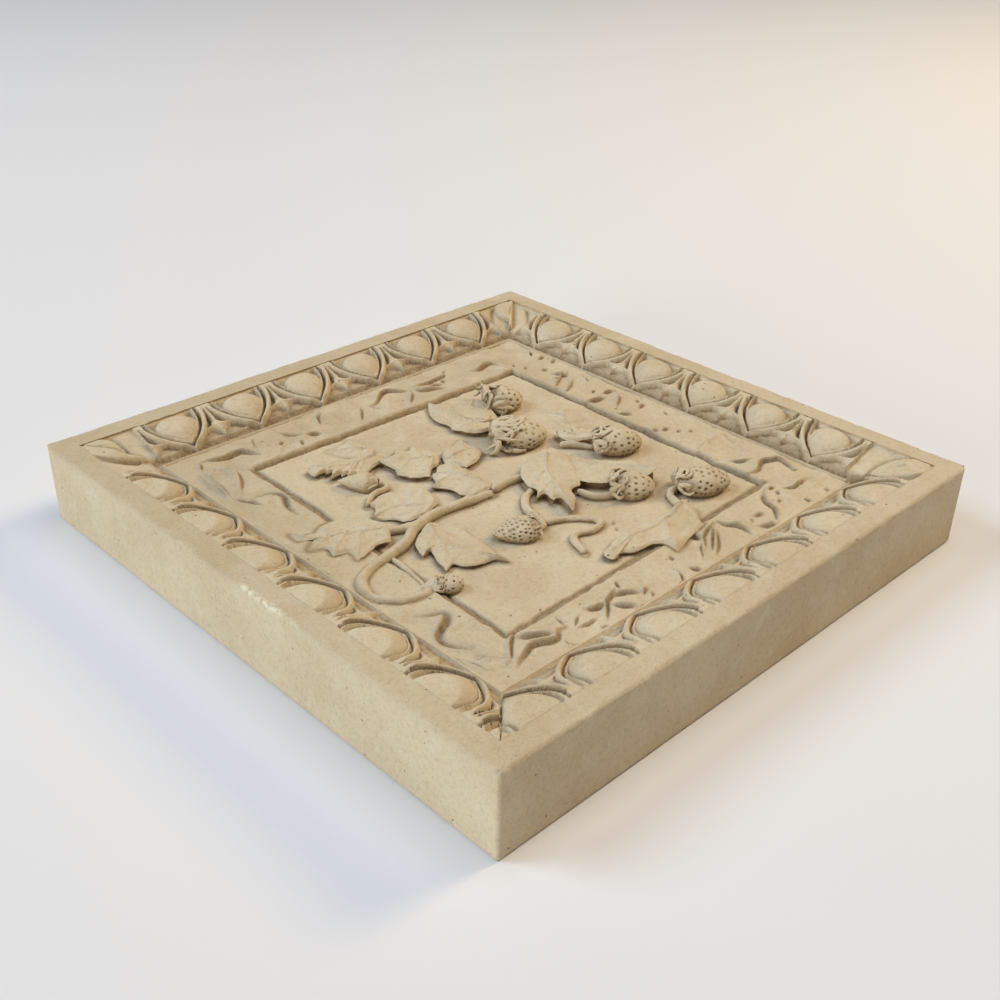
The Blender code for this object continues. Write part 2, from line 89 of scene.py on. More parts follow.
class TileSizes(bpy.types.PropertyGroup):
    """Sizes of the tile's carving."""
    thickness: length("Thickness", "From the back to the top of the rim", 0.0261)
    rim: length("Rim", "Width of the plain rim", 0.0074)
    quirk: length("Quirk", "Step down from the rim to the moulding", 0.0010)
    moulding: length("Moulding", "Width of the egg-and-dart moulding in plan", 0.0182)
    slope: length("Slope", "Width of the moulding's slope in plan", 0.0143)
    cove: length("Cove", "Height of the small cove at the slope's foot", 0.0014)
    fillet: length("Fillet", "Width of the fillet round the field", 0.0013)
    fillet_rise: length("Fillet rise", "Height of the fillet above the field", 0.0005)
    field: length("Field depth", "From the rim's top down to the level field", 0.0068)
    panel: length("Panel depth", "From the field down to the sunk panel", 0.0012)
    band: length("Band", "Width of the level band between moulding and panel", 0.0186)
    egg_length: length("Egg length", "Length of an egg down the slope", 0.0128)
    egg_width: length("Egg width", "Width of an egg at its middle", 0.0134)
    egg_rise: length("Egg rise", "Height of an egg above the slope", 0.0029)
    shell_length: length("Shell length", "From the rim to a shell's tip", 0.0160)
    shell_spread: length("Shell spread", "Width of a shell at the rim", 0.0220)
    shell_rise: length("Shell rise", "Height of a shell's outer ridge", 0.0017)
    dart_rise: length("Dart rise", "Height of a dart above the slope", 0.0013)
    leaf_rise: length("Leaf rise", "Height of a leaf's edge above the panel", 0.0017)
    vein_rise: length("Vein rise", "Height of the veins on a leaf", 0.00042)
    vine_rise: length("Vine rise", "Height of the low vine work in the band", 0.0008)
    seed_gap: length("Seed gap", "Distance between the seed pits of a berry", 0.0026)
    seed_size: length("Seed size", "Radius of a seed pit", 0.00053)


class TileColours(bpy.types.PropertyGroup):
    """Linear colours of the stone and the floor."""
    cream: colour("Cream", "The stone where it is cleanest", (0.71, 0.595, 0.42))
    tan: colour("Tan", "The stone where it is warmest", (0.64, 0.52, 0.345))
    dust: colour("Dust", "Pale dust on the open faces", (0.75, 0.675, 0.52))
    # Shade: painted shade in the recesses and under the relief, with some grime, and the dark of the grain
    # and pinholes
    shade: colour("Shade", "Dirt in the recesses and pinholes", (0.25, 0.165, 0.080))
    # Chip: freshly broken stone in the chips, and a painted highlight along the arris
    chip_and_highlight: colour("Chip", "Fresh stone in small chips", (0.90, 0.84, 0.66))
    floor: colour("Floor", "The pale floor", (0.86, 0.865, 0.905))


# Eggs of each side, on the grid: how many, their pitch, and how far the run's middle lies from the
# side's middle, then how many more shells run into the mitre after the last one
EGG_RUNS = ((7, 12.15, -3.5, 0), (6, 12.15, 1.0, 0), (6, 12.4, 0.0, 0), (6, 12.55, 3.6, 1))

# What differs between the two worn sides of the moulding nearest the eye and the two crisp far ones: how far
# an egg starts from the rim in mm, its width, its dome's exponent, a shell's length, its curve's exponent,
# the height of its outer ridge, and in mm the half width of its trench, the height of the strut along the
# rim, and the depth of the slot beside a dart
WORN = {"start": 0.1, "wide": 1.05, "dome": 0.75, "shell": 0.94, "bend": 3.3, "ridge": 1.15, "trench": 0.78,
        "strut": 0.5, "slot": 1.1}
CRISP = {"start": 0.6, "wide": 1.0, "dome": 0.60, "shell": 1.0, "bend": 2.2, "ridge": 1.0, "trench": 0.64,
         "strut": 1.25, "slot": 1.8}
NEAR_SIDES = (0, 3)

# How far each corner of the hand-cut panel lies off a true square, from the +X +Y corner round, in mm
PANEL_CORNER_SHIFTS = ((1.0, -1.4), (1.2, 0.4), (-1.5, -3.0), (-0.2, -0.2))

# Leaves of the plant. The outline starts at the stalk and runs round; 1 marks the tip of a side lobe, 2 the
# main tip, and 3 a main tip that is rounded. Then the midrib, and in mm the lift of the edge at the stalk,
# its lift at the main tip, and the height of the dome.
LEAVES = {
    "left": (((-24.2, -0.9), (-25.7, -3.3, 1), (-27.7, -2.7), (-29.8, -3.3), (-32.2, -3.7, 1), (-31.9, -1.4),
              (-34.0, -0.7, 1), (-33.7, 1.4), (-36.1, 2.6, 1), (-33.7, 4.7), (-35.4, 5.6), (-35.2, 8.3, 2),
              (-34.0, 6.7), (-32.3, 6.1), (-30.7, 7.0, 1), (-28.1, 7.0), (-26.2, 6.5, 1), (-24.7, 5.0),
              (-24.1, 2.9), (-23.6, 0.9)),
             ((-25.1, -0.5), (-28.7, 1.6), (-31.9, 3.0), (-33.5, 4.4)), 0.6, -0.4, 0.8),
    "lower_left": (((-18.9, -3.2), (-21.8, -4.5), (-23.9, -6.3), (-24.8, -8.8, 1), (-23.2, -8.6),
                    (-24.2, -11.3), (-24.7, -13.6, 1), (-23.0, -13.1), (-22.0, -14.7), (-20.3, -15.6),
                    (-17.8, -16.0), (-16.6, -17.6, 2), (-16.5, -15.1), (-16.2, -12.4, 1), (-16.0, -9.8),
                    (-15.7, -7.2, 1), (-17.0, -5.3), (-17.9, -3.8)),
                   ((-19.5, -4.3), (-21.0, -8.3), (-20.2, -11.4), (-18.1, -15.2)), 0.4, -0.4, 0.9),
    "above_stem": (((-17.6, -0.8), (-20.5, -0.3), (-21.2, 1.6), (-22.4, 2.8), (-23.4, 4.0, 2), (-21.3, 5.8),
                    (-21.1, 7.9, 1), (-18.4, 8.5), (-16.4, 8.3, 1), (-15.5, 6.7), (-13.9, 6.6, 1),
                    (-12.2, 5.6, 1), (-12.9, 2.7), (-13.8, 0.1, 1), (-16.0, -0.6)),
                   ((-17.2, 1.0), (-19.2, 3.2), (-21.6, 3.8)), 0.4, -0.8, 0.8),
    "toothed": (((-10.5, 16.7), (-13.5, 15.5), (-15.7, 14.6), (-17.9, 14.4, 1), (-17.2, 15.6),
                 (-19.4, 15.1, 1), (-17.9, 16.4), (-19.3, 16.4, 1), (-18.7, 17.2), (-21.0, 16.9, 1),
                 (-19.3, 18.4), (-20.6, 18.7, 1), (-20.2, 19.4), (-22.2, 19.3, 1), (-22.0, 21.7, 2),
                 (-19.0, 20.9), (-16.6, 21.1), (-15.3, 20.3), (-13.8, 19.8), (-12.5, 19.5), (-11.1, 18.9)),
                ((-11.8, 17.4), (-16.0, 17.4), (-20.6, 20.4)), 0.6, 0.0, 0.7),
    "upper_left": (((-9.8, 20.0), (-11.7, 19.6), (-13.9, 21.1), (-14.9, 23.3), (-15.4, 25.6, 2),
                    (-12.6, 25.4), (-10.2, 26.3, 1), (-9.9, 23.2)),
                   ((-10.8, 20.8), (-12.6, 23.2)), -0.6, -1.4, 0.6),
    "middle": (((-6.0, 9.1), (-7.5, 8.8), (-9.3, 7.2, 1), (-11.5, 8.7), (-12.6, 11.0, 1), (-11.9, 12.8),
                (-12.2, 16.2, 2), (-9.2, 16.0), (-7.9, 17.6, 1), (-6.2, 16.0), (-4.5, 17.4, 1), (-4.2, 15.0),
                (-3.8, 13.2, 1), (-3.8, 11.4)),
               ((-6.0, 10.4), (-9.0, 12.6), (-11.0, 14.6)), 0.5, 0.2, 1.0),
    "middle_right": (((-4.4, 9.6), (-4.3, 7.9), (-3.0, 5.8, 1), (0.1, 6.5), (2.8, 8.4, 2), (2.5, 11.1),
                      (3.2, 13.8, 1), (0.5, 12.9), (-2.2, 12.2)),
                     ((-3.0, 9.4), (0.8, 9.4)), 0.0, 0.0, 0.8),
    "knot": (((-4.5, -1.6), (-6.4, -1.7), (-8.3, -1.2), (-9.7, 0.0, 1), (-9.5, 1.9), (-10.2, 3.5),
              (-11.4, 4.6, 1), (-9.6, 5.6), (-9.1, 7.2, 2), (-7.8, 7.6), (-6.1, 8.8), (-4.1, 8.3, 1),
              (-3.6, 5.1, 1), (-3.6, 2.8), (-3.7, 0.5)),
             ((-5.4, 0.2), (-6.4, 3.4), (-7.6, 5.6)), 0.6, 0.4, 1.1),
    "upper": (((11.1, 13.0), (9.6, 12.4), (6.5, 12.9), (4.9, 14.3, 1), (4.6, 15.6), (4.0, 16.8, 1),
               (4.7, 18.6), (4.3, 20.9), (5.4, 24.1), (7.8, 27.2, 2), (9.6, 25.1), (9.6, 22.4, 1),
               (9.0, 19.4), (9.9, 16.4)),
              ((9.8, 13.6), (7.2, 17.0), (6.8, 21.4), (7.4, 25.0)), 0.4, -0.5, 0.8),
    "cupped": (((11.4, 14.0), (8.6, 16.8), (7.8, 19.4), (8.6, 22.0), (11.4, 23.2, 2), (13.8, 22.2, 1),
                (14.6, 20.0), (13.2, 16.6)),
               ((11.2, 16.4), (10.6, 20.6)), 0.8, 1.2, 0.8),
    "flat_right": (((19.3, 5.0), (19.2, 7.0), (20.0, 9.6), (20.8, 12.4, 1), (22.8, 11.4), (24.6, 10.9, 2),
                    (24.2, 8.3), (23.9, 5.3, 1), (21.9, 3.5)),
                   ((20.6, 6.6), (22.8, 9.4)), -1.7, -1.8, 0.5),
    "over_fruit": (((8.2, -2.0), (6.0, -7.5), (5.8, -9.3), (8.1, -12.5), (10.3, -13.8), (12.9, -16.8),
                    (16.0, -16.8, 2), (15.7, -14.4), (15.9, -12.0, 1), (14.8, -9.0), (12.4, -6.1),
                    (11.1, -3.0)),
                   ((9.0, -4.4), (11.0, -8.4), (14.0, -12.4)), 1.2, 4.6, 0.4),
    "fringe": (((14.6, 0.8), (14.8, 3.0), (15.8, 4.6, 1), (15.8, 2.4), (16.9, 3.9, 1), (16.8, 1.7),
                (18.0, 3.1, 1), (17.7, 0.9), (19.1, 2.0, 1), (18.6, -0.2), (19.6, 0.2, 1), (18.8, -2.2),
                (17.4, -2.8, 2), (15.8, -1.2)),
               ((15.2, 1.4), (16.8, -0.6)), 1.6, 2.6, 0.5),
    "big": (((8.8, 0.2), (5.7, 0.4), (2.2, -0.8, 1), (0.2, -3.0), (-0.9, -5.7, 1), (-0.6, -7.2),
             (-2.1, -8.5, 1), (-0.4, -8.7), (-0.8, -10.8, 1), (0.5, -11.2), (-0.6, -14.7, 2), (2.2, -12.6),
             (3.4, -10.6), (5.4, -10.7, 1), (8.4, -6.6), (10.3, -3.9, 1), (10.4, -0.9)),
            ((7.2, -1.6), (3.4, -5.4), (1.4, -9.8)), 2.2, 0.6, 1.2),
    "lower_right": (((13.0, -24.1), (9.1, -24.8), (6.4, -24.5), (3.8, -23.8), (0.5, -24.0), (-1.8, -23.8),
                     (-5.6, -25.3), (-6.3, -26.2, 3), (-5.6, -27.3), (-3.8, -26.8), (-1.9, -28.1),
                     (1.0, -28.4), (2.4, -29.9), (2.2, -32.2, 1), (5.1, -31.4), (6.9, -30.9),
                     (10.6, -30.2, 1), (11.1, -29.0), (12.6, -27.2), (13.6, -25.2)),
                    ((11.8, -24.9), (8.7, -26.0), (4.4, -26.4), (-1.2, -25.8)), 1.0, 0.2, 1.2),
}

# Side of a leaf from the ground up: in mm how far below the edge and how far inside it, and its painted
# shade
LEAF_WALL = ((1.7, 1.3, 1.0), (0.8, 0.75, 1.0), (0.40, 0.25, 1.0), (0.12, 0.0, 0.7))

# Strawberries: centre on the grid, heading in degrees, half length, half width and height above the panel
# on the grid, sepals, their curl, how much they cover, and how much the fruit tapers. Past a taper of
# BUD_TAPER it is a bud or a leafy cup, with no seed pits.
BUD_TAPER = 0.6
BERRIES = {
    "top": ((17.4, 18.2), -25, 3.1, 3.0, 3.55, 17, 1.0, 1.4, 0.10),
    "largest": ((10.2, 7.1), -35, 4.3, 3.8, 3.6, 21, 1.0, 1.35, 0.14),
    "right": ((20.0, -5.3), -37, 3.9, 2.9, 3.5, 9, 0.9, 0.75, 0.14),
    "covered": ((11.1, -16.2), -45, 3.2, 3.0, 3.1, 8, 0.9, 0.7, 0.10),
    "lower_right": ((19.8, -22.7), -31, 4.3, 2.9, 3.5, 7, 0.6, 0.7, 0.18),
    "small": ((-11.0, -13.1), 155, 3.5, 2.5, 2.5, 5, 0.1, 0.5, 0.42),
    "bud": ((-18.7, 13.2), 132, 3.1, 1.7, 2.0, 4, 0.6, 0.9, 0.62),
    "smallest": ((-26.7, -16.8), -36, 1.7, 1.5, 2.0, 5, 0.5, 0.8, 0.12),
    "tuft": ((-28.7, -15.3), 144, 1.6, 1.3, 1.5, 11, 1.0, 1.1, 0.62),
}

# Stems, stalks and tendrils on the panel: places on the grid, width and height in mm
STEMS = {
    "main": (((-28.8, -15.6), (-31.8, -16.0), (-34.9, -14.5), (-36.3, -11.8), (-35.4, -8.6), (-32.2, -6.5),
              (-27.8, -5.6), (-24.2, -4.6), (-21.2, -2.8), (-17.2, -1.6), (-13.0, -1.6), (-9.0, -2.1),
              (-5.2, -2.5)), 3.1, 2.9),
    "far": (((-5.0, -2.0), (-1.8, -1.6), (2.2, -2.0)), 2.8, 2.6),
    "left_branch": (((-24.8, -0.3), (-22.0, -1.4), (-18.6, -2.0)), 2.4, 2.4),
    "loop_branch": (((-28.2, -6.0), (-28.4, -9.0), (-28.9, -12.6), (-29.4, -14.8)), 1.5, 1.6),
    "bud_stalk": (((-16.8, 11.2), (-15.8, 10.0), (-16.7, 9.1), (-19.2, 9.0), (-21.6, 7.3)), 1.7, 2.1),
    "fruit_stalk": (((0.6, -5.6), (-2.6, -6.8), (-4.9, -9.4), (-5.6, -12.2), (-6.4, -14.2), (-8.2, -14.4)),
                    2.6, 2.4),
    "right_stalk": (((13.4, 1.6), (15.0, 0.0), (17.2, -3.0)), 2.0, 2.4),
    "lower_stalk": (((12.6, -24.0), (14.0, -21.0), (16.6, -20.2)), 2.4, 2.6),
    "covered_stalk": (((4.6, -10.6), (5.2, -13.6), (7.4, -15.0), (9.4, -15.2)), 2.2, 2.4),
    "curl": (((-5.6, -13.8), (-2.4, -15.2), (0.2, -17.6), (0.4, -19.2), (-1.8, -19.9), (-4.4, -19.0),
              (-6.0, -19.9), (-7.2, -23.2)), 2.2, 1.9),
}

# Vine work, leaf edges and twigs of the band, each cut as a line with the stone raised on its left hand.
# Places on the grid, then in mm the width of the cut, the rise beside it and how far that rise reaches.
CUTS = (
    (((-34.2, -28.9), (-35.5, -27.1), (-36.1, -25.4), (-35.2, -23.8), (-32.9, -22.6), (-31.9, -21.6),
      (-32.0, -20.8), (-33.4, -20.0), (-34.9, -18.9)), 2.1, 0.8, 1.0),
    (((-35.9, -33.4), (-36.6, -30.0), (-37.6, -28.0)), 0.8, 0.4, 1.5),
    (((-33.9, -31.2), (-35.2, -30.2)), 0.8, 0.4, 1.0),
    (((-32.2, -34.0), (-33.7, -32.0), (-35.4, -31.0)), 0.8, 0.5, 1.2),
    (((-32.2, -33.8), (-29.9, -31.4), (-28.1, -30.2)), 0.8, 0.7, 0.8),
    (((-28.4, -31.2), (-26.9, -32.5), (-24.8, -33.8)), 1.5, 0.7, 2.0),
    (((-32.2, -35.1), (-29.6, -34.0), (-28.1, -33.7), (-25.3, -34.9), (-23.8, -33.8), (-22.6, -33.7)),
     1.4, 0.6, 1.8),
    (((-23.8, -37.6), (-24.8, -36.4), (-24.6, -35.9)), 0.8, 0.4, 1.0),
    (((-22.3, -33.1), (-21.8, -31.6)), 1.0, 0.5, 1.0),
    (((-21.3, -34.3), (-19.5, -33.2)), 0.7, 0.3, 1.0),
    (((-21.3, -34.8), (-19.8, -35.2), (-18.0, -35.1)), 0.7, 0.3, 1.0),
    (((-19.0, -36.6), (-18.0, -37.6)), 0.7, 0.3, 1.0),
    (((-17.7, -32.8), (-16.5, -33.6), (-14.7, -33.7)), 1.3, 0.6, 1.5),
    (((-17.0, -36.0), (-15.7, -34.9), (-14.2, -33.6), (-11.7, -32.6)), 1.0, 0.8, 0.8),
    (((-14.2, -34.4), (-13.4, -35.6), (-12.2, -36.9)), 1.2, 0.5, 1.5),
    (((-12.7, -33.1), (-11.1, -33.7), (-9.4, -35.1)), 1.4, 0.4, 2.0),
    (((-10.9, -32.6), (-10.1, -31.3)), 1.1, 0.4, 1.0),
    (((-9.4, -35.7), (-7.9, -35.0)), 0.9, 0.4, 1.0),
    (((-8.9, -36.8), (-8.1, -36.1)), 0.8, 0.3, 1.0),
    (((-3.3, -37.4), (-2.0, -35.9), (-1.8, -34.6)), 0.9, 0.6, 0.8),
    (((0.2, -35.8), (1.0, -37.3)), 1.3, 0.4, 1.0),
    (((0.0, -32.8), (0.6, -32.2)), 1.3, 0.3, 1.0),
    (((6.8, -30.2), (7.6, -32.0)), 2.2, 0.5, 2.0),
    (((6.1, -34.0), (8.4, -32.0), (11.9, -30.8)), 0.8, 0.7, 0.7),
    (((6.1, -35.1), (9.6, -32.5), (11.4, -31.3)), 0.8, 0.6, 0.7),
    (((5.8, -36.1), (7.6, -35.1), (10.9, -32.3)), 0.8, 0.6, 0.8),
    (((3.6, -35.4), (5.2, -33.8), (6.4, -33.0)), 0.7, 0.4, 0.8),
    (((12.9, -30.8), (13.4, -32.3), (14.2, -33.3), (14.3, -34.8), (13.9, -36.1)), 1.2, 0.5, 1.5),
    (((16.5, -35.6), (17.7, -36.6), (19.1, -37.0)), 1.3, 0.5, 1.8),
    (((18.2, -33.5), (20.0, -34.0)), 1.0, 0.3, 1.5),
    (((16.4, -34.5), (17.4, -33.6)), 0.8, 0.3, 1.0),
    (((25.8, -29.9), (24.1, -30.8), (22.8, -32.3), (22.3, -34.0), (20.8, -35.6), (19.5, -36.5)),
     1.2, 0.9, 0.8),
    (((26.3, -30.4), (27.6, -30.4)), 1.3, 0.4, 1.0),
    (((26.3, -31.9), (26.9, -31.8)), 1.2, 0.2, 1.0),
    (((24.4, -33.5), (25.2, -33.4)), 1.1, 0.2, 1.0),
    (((28.4, -31.8), (29.9, -32.7), (31.9, -32.5), (33.2, -32.3)), 0.8, 0.5, 2.0),
    (((34.6, -29.6), (34.8, -28.9)), 1.6, 0.3, 1.0),
    (((27.8, -36.4), (28.4, -35.9)), 1.8, 0.3, 1.0),
    (((32.9, -36.4), (33.5, -36.0)), 1.3, 0.3, 1.0),
    (((28.4, -6.0), (29.6, -5.4)), 1.4, 0.3, 1.0),
    (((29.8, -6.6), (31.2, -6.7)), 1.1, 0.3, 1.0),
    (((31.4, -8.4), (32.1, -8.5)), 1.2, 0.3, 1.0),
    (((32.8, -9.8), (33.4, -10.1)), 0.9, 0.3, 1.0),
    (((34.8, -17.5), (35.1, -16.0), (35.6, -14.4)), 0.8, 0.4, 1.5),
    (((29.8, -20.8), (30.6, -21.8), (32.1, -22.4)), 1.0, 0.4, 1.5),
    (((35.6, -14.2), (31.0, -14.4), (28.0, -15.2)), 0.5, 0.5, 2.5),
    (((28.0, -25.4), (30.3, -25.6), (32.1, -24.6), (33.6, -24.3), (34.6, -25.1), (35.6, -25.6),
      (35.4, -27.4), (34.6, -29.4)), 1.3, 0.6, 1.5),
    (((34.8, -3.3), (35.3, -2.5)), 0.9, 0.3, 1.0),
    (((32.0, 23.6), (32.8, 22.8)), 1.0, 0.4, 1.0),
    (((32.5, 21.3), (33.0, 20.2), (33.3, 19.0), (34.3, 19.3)), 1.8, 0.6, 1.5),
    (((31.0, 18.8), (31.8, 19.6)), 0.7, 0.4, 1.0),
    (((34.6, 14.4), (35.2, 15.6), (35.9, 17.0)), 1.0, 0.5, 1.5),
    (((34.8, 27.1), (36.6, 27.2)), 1.0, 0.4, 1.0),
    (((35.5, 24.4), (37.2, 25.2)), 1.1, 0.4, 1.0),
    (((35.3, 29.4), (36.4, 30.9)), 0.9, 0.3, 1.0),
    (((28.5, 8.9), (30.0, 8.5), (31.8, 8.1)), 1.4, 0.7, 1.5),
    (((33.0, 9.4), (34.0, 9.1), (34.9, 8.8)), 1.1, 0.6, 1.5),
    (((29.0, 2.5), (30.4, 0.5)), 1.0, 0.5, 1.2),
    (((33.5, 1.5), (35.3, 2.0)), 1.1, 0.4, 1.2),
    (((35.0, 3.4), (35.8, 3.8)), 0.9, 0.3, 1.0),
    (((32.0, 11.1), (33.0, 11.4)), 1.0, 0.3, 1.0),
    (((30.0, 25.8), (30.8, 26.3)), 0.9, 0.3, 1.0),
    (((29.2, 28.0), (29.9, 28.4)), 1.0, 0.3, 1.0),
    (((28.4, 16.6), (31.0, 18.2), (34.0, 19.8)), 0.5, 0.5, 0.8),
    (((28.2, 14.0), (30.5, 15.0), (33.4, 17.0)), 0.5, 0.5, 0.8),
    (((31.2, 4.6), (33.8, 6.4), (35.2, 8.6)), 0.6, 0.6, 1.5),
    (((-31.8, 34.6), (-29.6, 33.4), (-26.4, 33.7), (-25.6, 33.2), (-24.3, 30.9)), 2.0, 0.8, 1.5),
    (((-23.6, 32.9), (-23.0, 34.4), (-22.0, 36.0)), 0.6, 0.4, 0.8),
    (((-14.7, 32.2), (-16.5, 33.2), (-18.0, 34.7)), 1.9, 0.7, 0.9),
    (((-14.4, 31.4), (-12.7, 30.4)), 1.2, 0.5, 1.5),
    (((-10.8, 32.9), (-9.9, 34.7), (-8.6, 36.1)), 0.9, 0.6, 1.0),
    (((-17.3, 29.0), (-16.5, 30.4)), 1.0, 0.4, 1.0),
    (((-4.6, 29.6), (-2.3, 32.7)), 0.8, 0.6, 0.7),
    (((-0.1, 30.4), (-0.6, 31.4), (-0.5, 32.9)), 1.0, 0.4, 1.0),
    (((-20.0, 31.6), (-19.0, 31.7)), 0.8, 0.3, 1.0),
    (((0.0, 32.6), (1.5, 33.0), (3.8, 34.8), (5.3, 35.0), (6.8, 34.0), (8.6, 32.9)), 1.1, 0.7, 1.2),
    (((5.6, 29.2), (7.6, 31.0), (8.6, 32.7)), 0.7, 0.7, 0.7),
    (((9.8, 32.8), (10.1, 31.5), (11.4, 30.7), (13.7, 29.7)), 1.2, 0.6, 1.2),
    (((10.0, 33.4), (12.7, 33.0), (16.5, 33.0), (17.7, 34.3), (18.5, 34.8)), 0.9, 0.5, 1.0),
    (((12.9, 32.8), (13.5, 32.4)), 1.7, 0.3, 1.0),
    (((15.0, 31.9), (15.8, 31.6)), 1.0, 0.3, 1.0),
    (((12.0, 31.8), (14.5, 31.0)), 0.7, 0.4, 1.0),
    (((22.3, 31.5), (23.6, 31.1), (26.6, 31.7), (27.6, 30.5)), 1.2, 0.6, 2.5),
    (((35.0, 29.2), (36.2, 30.7)), 1.0, 0.3, 1.0),
    (((-34.0, 32.2), (-32.7, 34.4)), 0.8, 0.5, 1.0),
    (((-35.0, 22.8), (-34.2, 27.9), (-34.0, 30.9)), 0.8, 0.6, 0.8),
    (((-35.5, 22.8), (-35.5, 27.9), (-35.0, 31.4)), 0.7, 0.5, 0.8),
    (((-33.0, 22.8), (-31.0, 26.1), (-30.3, 28.9), (-31.5, 31.4), (-33.0, 30.6)), 0.8, 0.7, 2.0),
    (((-33.2, 17.7), (-34.0, 19.2), (-35.0, 21.8)), 2.0, 0.7, 1.2),
    (((-30.8, 12.1), (-30.7, 14.4), (-29.4, 17.0), (-29.3, 18.0), (-30.2, 19.2), (-31.7, 19.7),
      (-33.2, 20.0)), 2.0, 0.8, 1.0),
    (((1.8, -20.4), (2.6, -19.9)), 0.9, 0.1, 1.0),
    (((0.9, -21.8), (1.7, -21.4)), 0.9, 0.1, 1.0),
)

# Chips on the top arris: side, place along it from its middle and half length on the grid, depth in mm, and
# how bright it looks, as freshly broken stone and a painted highlight
CHIPS = (
    (3, -1.2, 0.8, 1.0, 0.0),
    (3, 4.0, 2.6, 0.45, 0.9),
    (3, 8.6, 3.4, 0.6, 1.0),
    (3, 13.5, 1.8, 0.4, 0.5),
    (3, -11.0, 2.5, 0.35, 0.25),
    (3, 22.0, 2.0, 0.4, 0.0),
    (3, 29.0, 2.4, 0.5, 0.1),
    (3, 38.0, 2.0, 0.5, 0.1),
    (3, 50.0, 2.0, 1.3, 0.1),
    (0, -50.0, 2.4, 1.3, 0.1),
    (0, -37.0, 1.6, 0.5, 0.3),
    (0, -26.0, 1.4, 0.4, 0.2),
    (0, -12.0, 1.8, 0.5, 0.0),
    (0, 9.0, 1.4, 0.4, 0.0),
    (0, 27.0, 1.6, 0.5, 0.0),
    (1, 12.0, 1.5, 0.6, 0.0),
    (2, -22.0, 1.3, 0.5, 0.0),
)


def ease(low, high, x):
    """Smooth step: 0 below low, 1 above high, and 3t^2 - 2t^3 of the share between."""
    t = np.clip((x - low) / (high - low), 0.0, 1.0)
    return t * t * (3 - 2 * t)


def bead(x, half):
    """Round bead: the height of a half circle flattened to 1, over x from -half to half."""
    return np.sqrt(np.clip(1 - (x / half) ** 2, 0.0, 1.0))


def bell(x, half):
    """Bell curve: exp(-(x / half)^2)."""
    return np.exp(-(x / half) ** 2)


def on_plan(x, y):
    """Places at height 0."""
    return np.stack([x, y, np.zeros_like(x)], axis=-1)


def scatter(cell, seed):
    """Fixed pseudo-random number between -1 and 1 for each whole-number cell."""
    mixed = seed * 974634777 + sum(cell[..., k] * prime for k, prime in
                                   zip(range(cell.shape[-1]), (374761393, 668265263, 1440662683)))
    mixed = (mixed ^ (mixed >> 13)) * 1274126177
    mixed = mixed ^ (mixed >> 16)
    return (mixed & 0xFFFF) / 32767.5 - 1


def lumps(points, size, seed):
    """Smooth noise: the scattered values of the cell's eight corners, eased into one another."""
    place = points / size
    cell = np.floor(place).astype(np.int64)
    t = place - cell
    t = t * t * (3 - 2 * t)
    total = np.zeros(points.shape[:-1])
    for corner in np.ndindex(2, 2, 2):
        share = np.prod(np.where(np.array(corner) == 1, t, 1 - t), axis=-1)
        total += share * scatter(cell + np.array(corner), seed)
    return total


def weathered(points, depth, size, seed):
    """Move every point a little by three fields of smooth noise, one for each axis."""
    shift = np.stack([lumps(points, size, seed + k) for k in range(3)], axis=-1)
    fine = np.stack([lumps(points, size * 0.4, seed + 7 + k) for k in range(3)], axis=-1)
    return points + depth * (shift + 0.5 * fine)


def curve_through(knots, count, closed=False, sharp=None):
    """Catmull-Rom curve through the knots, read off at count equal steps of its length. At a knot marked
    sharp the curve breaks: both its runs leave straight, as if the next knot were mirrored in it."""
    knots = np.asarray(knots, dtype=float)
    if closed:
        ring = np.concatenate([knots[-1:], knots, knots[:2]])
    else:
        ring = np.concatenate([2 * knots[:1] - knots[1:2], knots, 2 * knots[-1:] - knots[-2:-1]])
    a, b, c, d = (ring[k:len(ring) - 3 + k, None, :] for k in range(4))
    if sharp is not None:
        starts = np.asarray(sharp)[:, None, None]
        ends = np.roll(starts, -1, axis=0)
        a, d = np.where(starts, 2 * b - c, a), np.where(ends, 2 * c - b, d)
    t = np.linspace(0, 1, 24, endpoint=False)[None, :, None]
    fine = 0.5 * (2 * b + (c - a) * t + (2 * a - 5 * b + 4 * c - d) * t ** 2
                  + (3 * b - a - 3 * c + d) * t ** 3)
    fine = np.concatenate([fine.reshape(-1, knots.shape[1]), ring[-2:-1]])
    run = np.concatenate([[0.0], np.cumsum(np.linalg.norm(np.diff(fine, axis=0), axis=1))])
    steps = np.linspace(0, run[-1], count, endpoint=not closed)
    return np.stack([np.interp(steps, run, fine[:, k]) for k in range(knots.shape[1])], axis=-1)


def to_stroke(points, path):
    """Distance from each plan point to a path of straight runs, and the share of the path at the nearest
    place on it."""
    best = np.full(points.shape[:-1], np.inf)
    share = np.zeros(points.shape[:-1])
    last = len(path) - 1
    for k in range(last):
        run = path[k + 1] - path[k]
        t = np.clip(((points - path[k]) @ run) / max(run @ run, 1e-18), 0, 1)
        away = np.linalg.norm(points - path[k] - t[..., None] * run, axis=-1)
        share = np.where(away < best, (k + t) / last, share)
        best = np.minimum(best, away)
    return best, share


def inside_depth(points, outline):
    """How deep each plan point lies inside a closed outline: distance to its edge, negative outside."""
    ring = np.concatenate([outline, outline[:1]])
    away, _ = to_stroke(points, ring)
    inside = np.zeros(points.shape[:-1], dtype=bool)
    x, y = points[..., 0], points[..., 1]
    for (x0, y0), (x1, y1) in zip(ring, ring[1:]):
        crosses = (y0 > y) != (y1 > y)
        reach = (x1 - x0) * (y - y0) / (y1 - y0 if y1 != y0 else 1e-12) + x0
        inside ^= crosses & (x < reach)
    return np.where(inside, away, -away)


def close_to(points, path, margin):
    """Marks the plan points that lie in a path's box or within a margin of it."""
    return np.all((points > path.min(axis=0) - margin) & (points < path.max(axis=0) + margin), axis=-1)


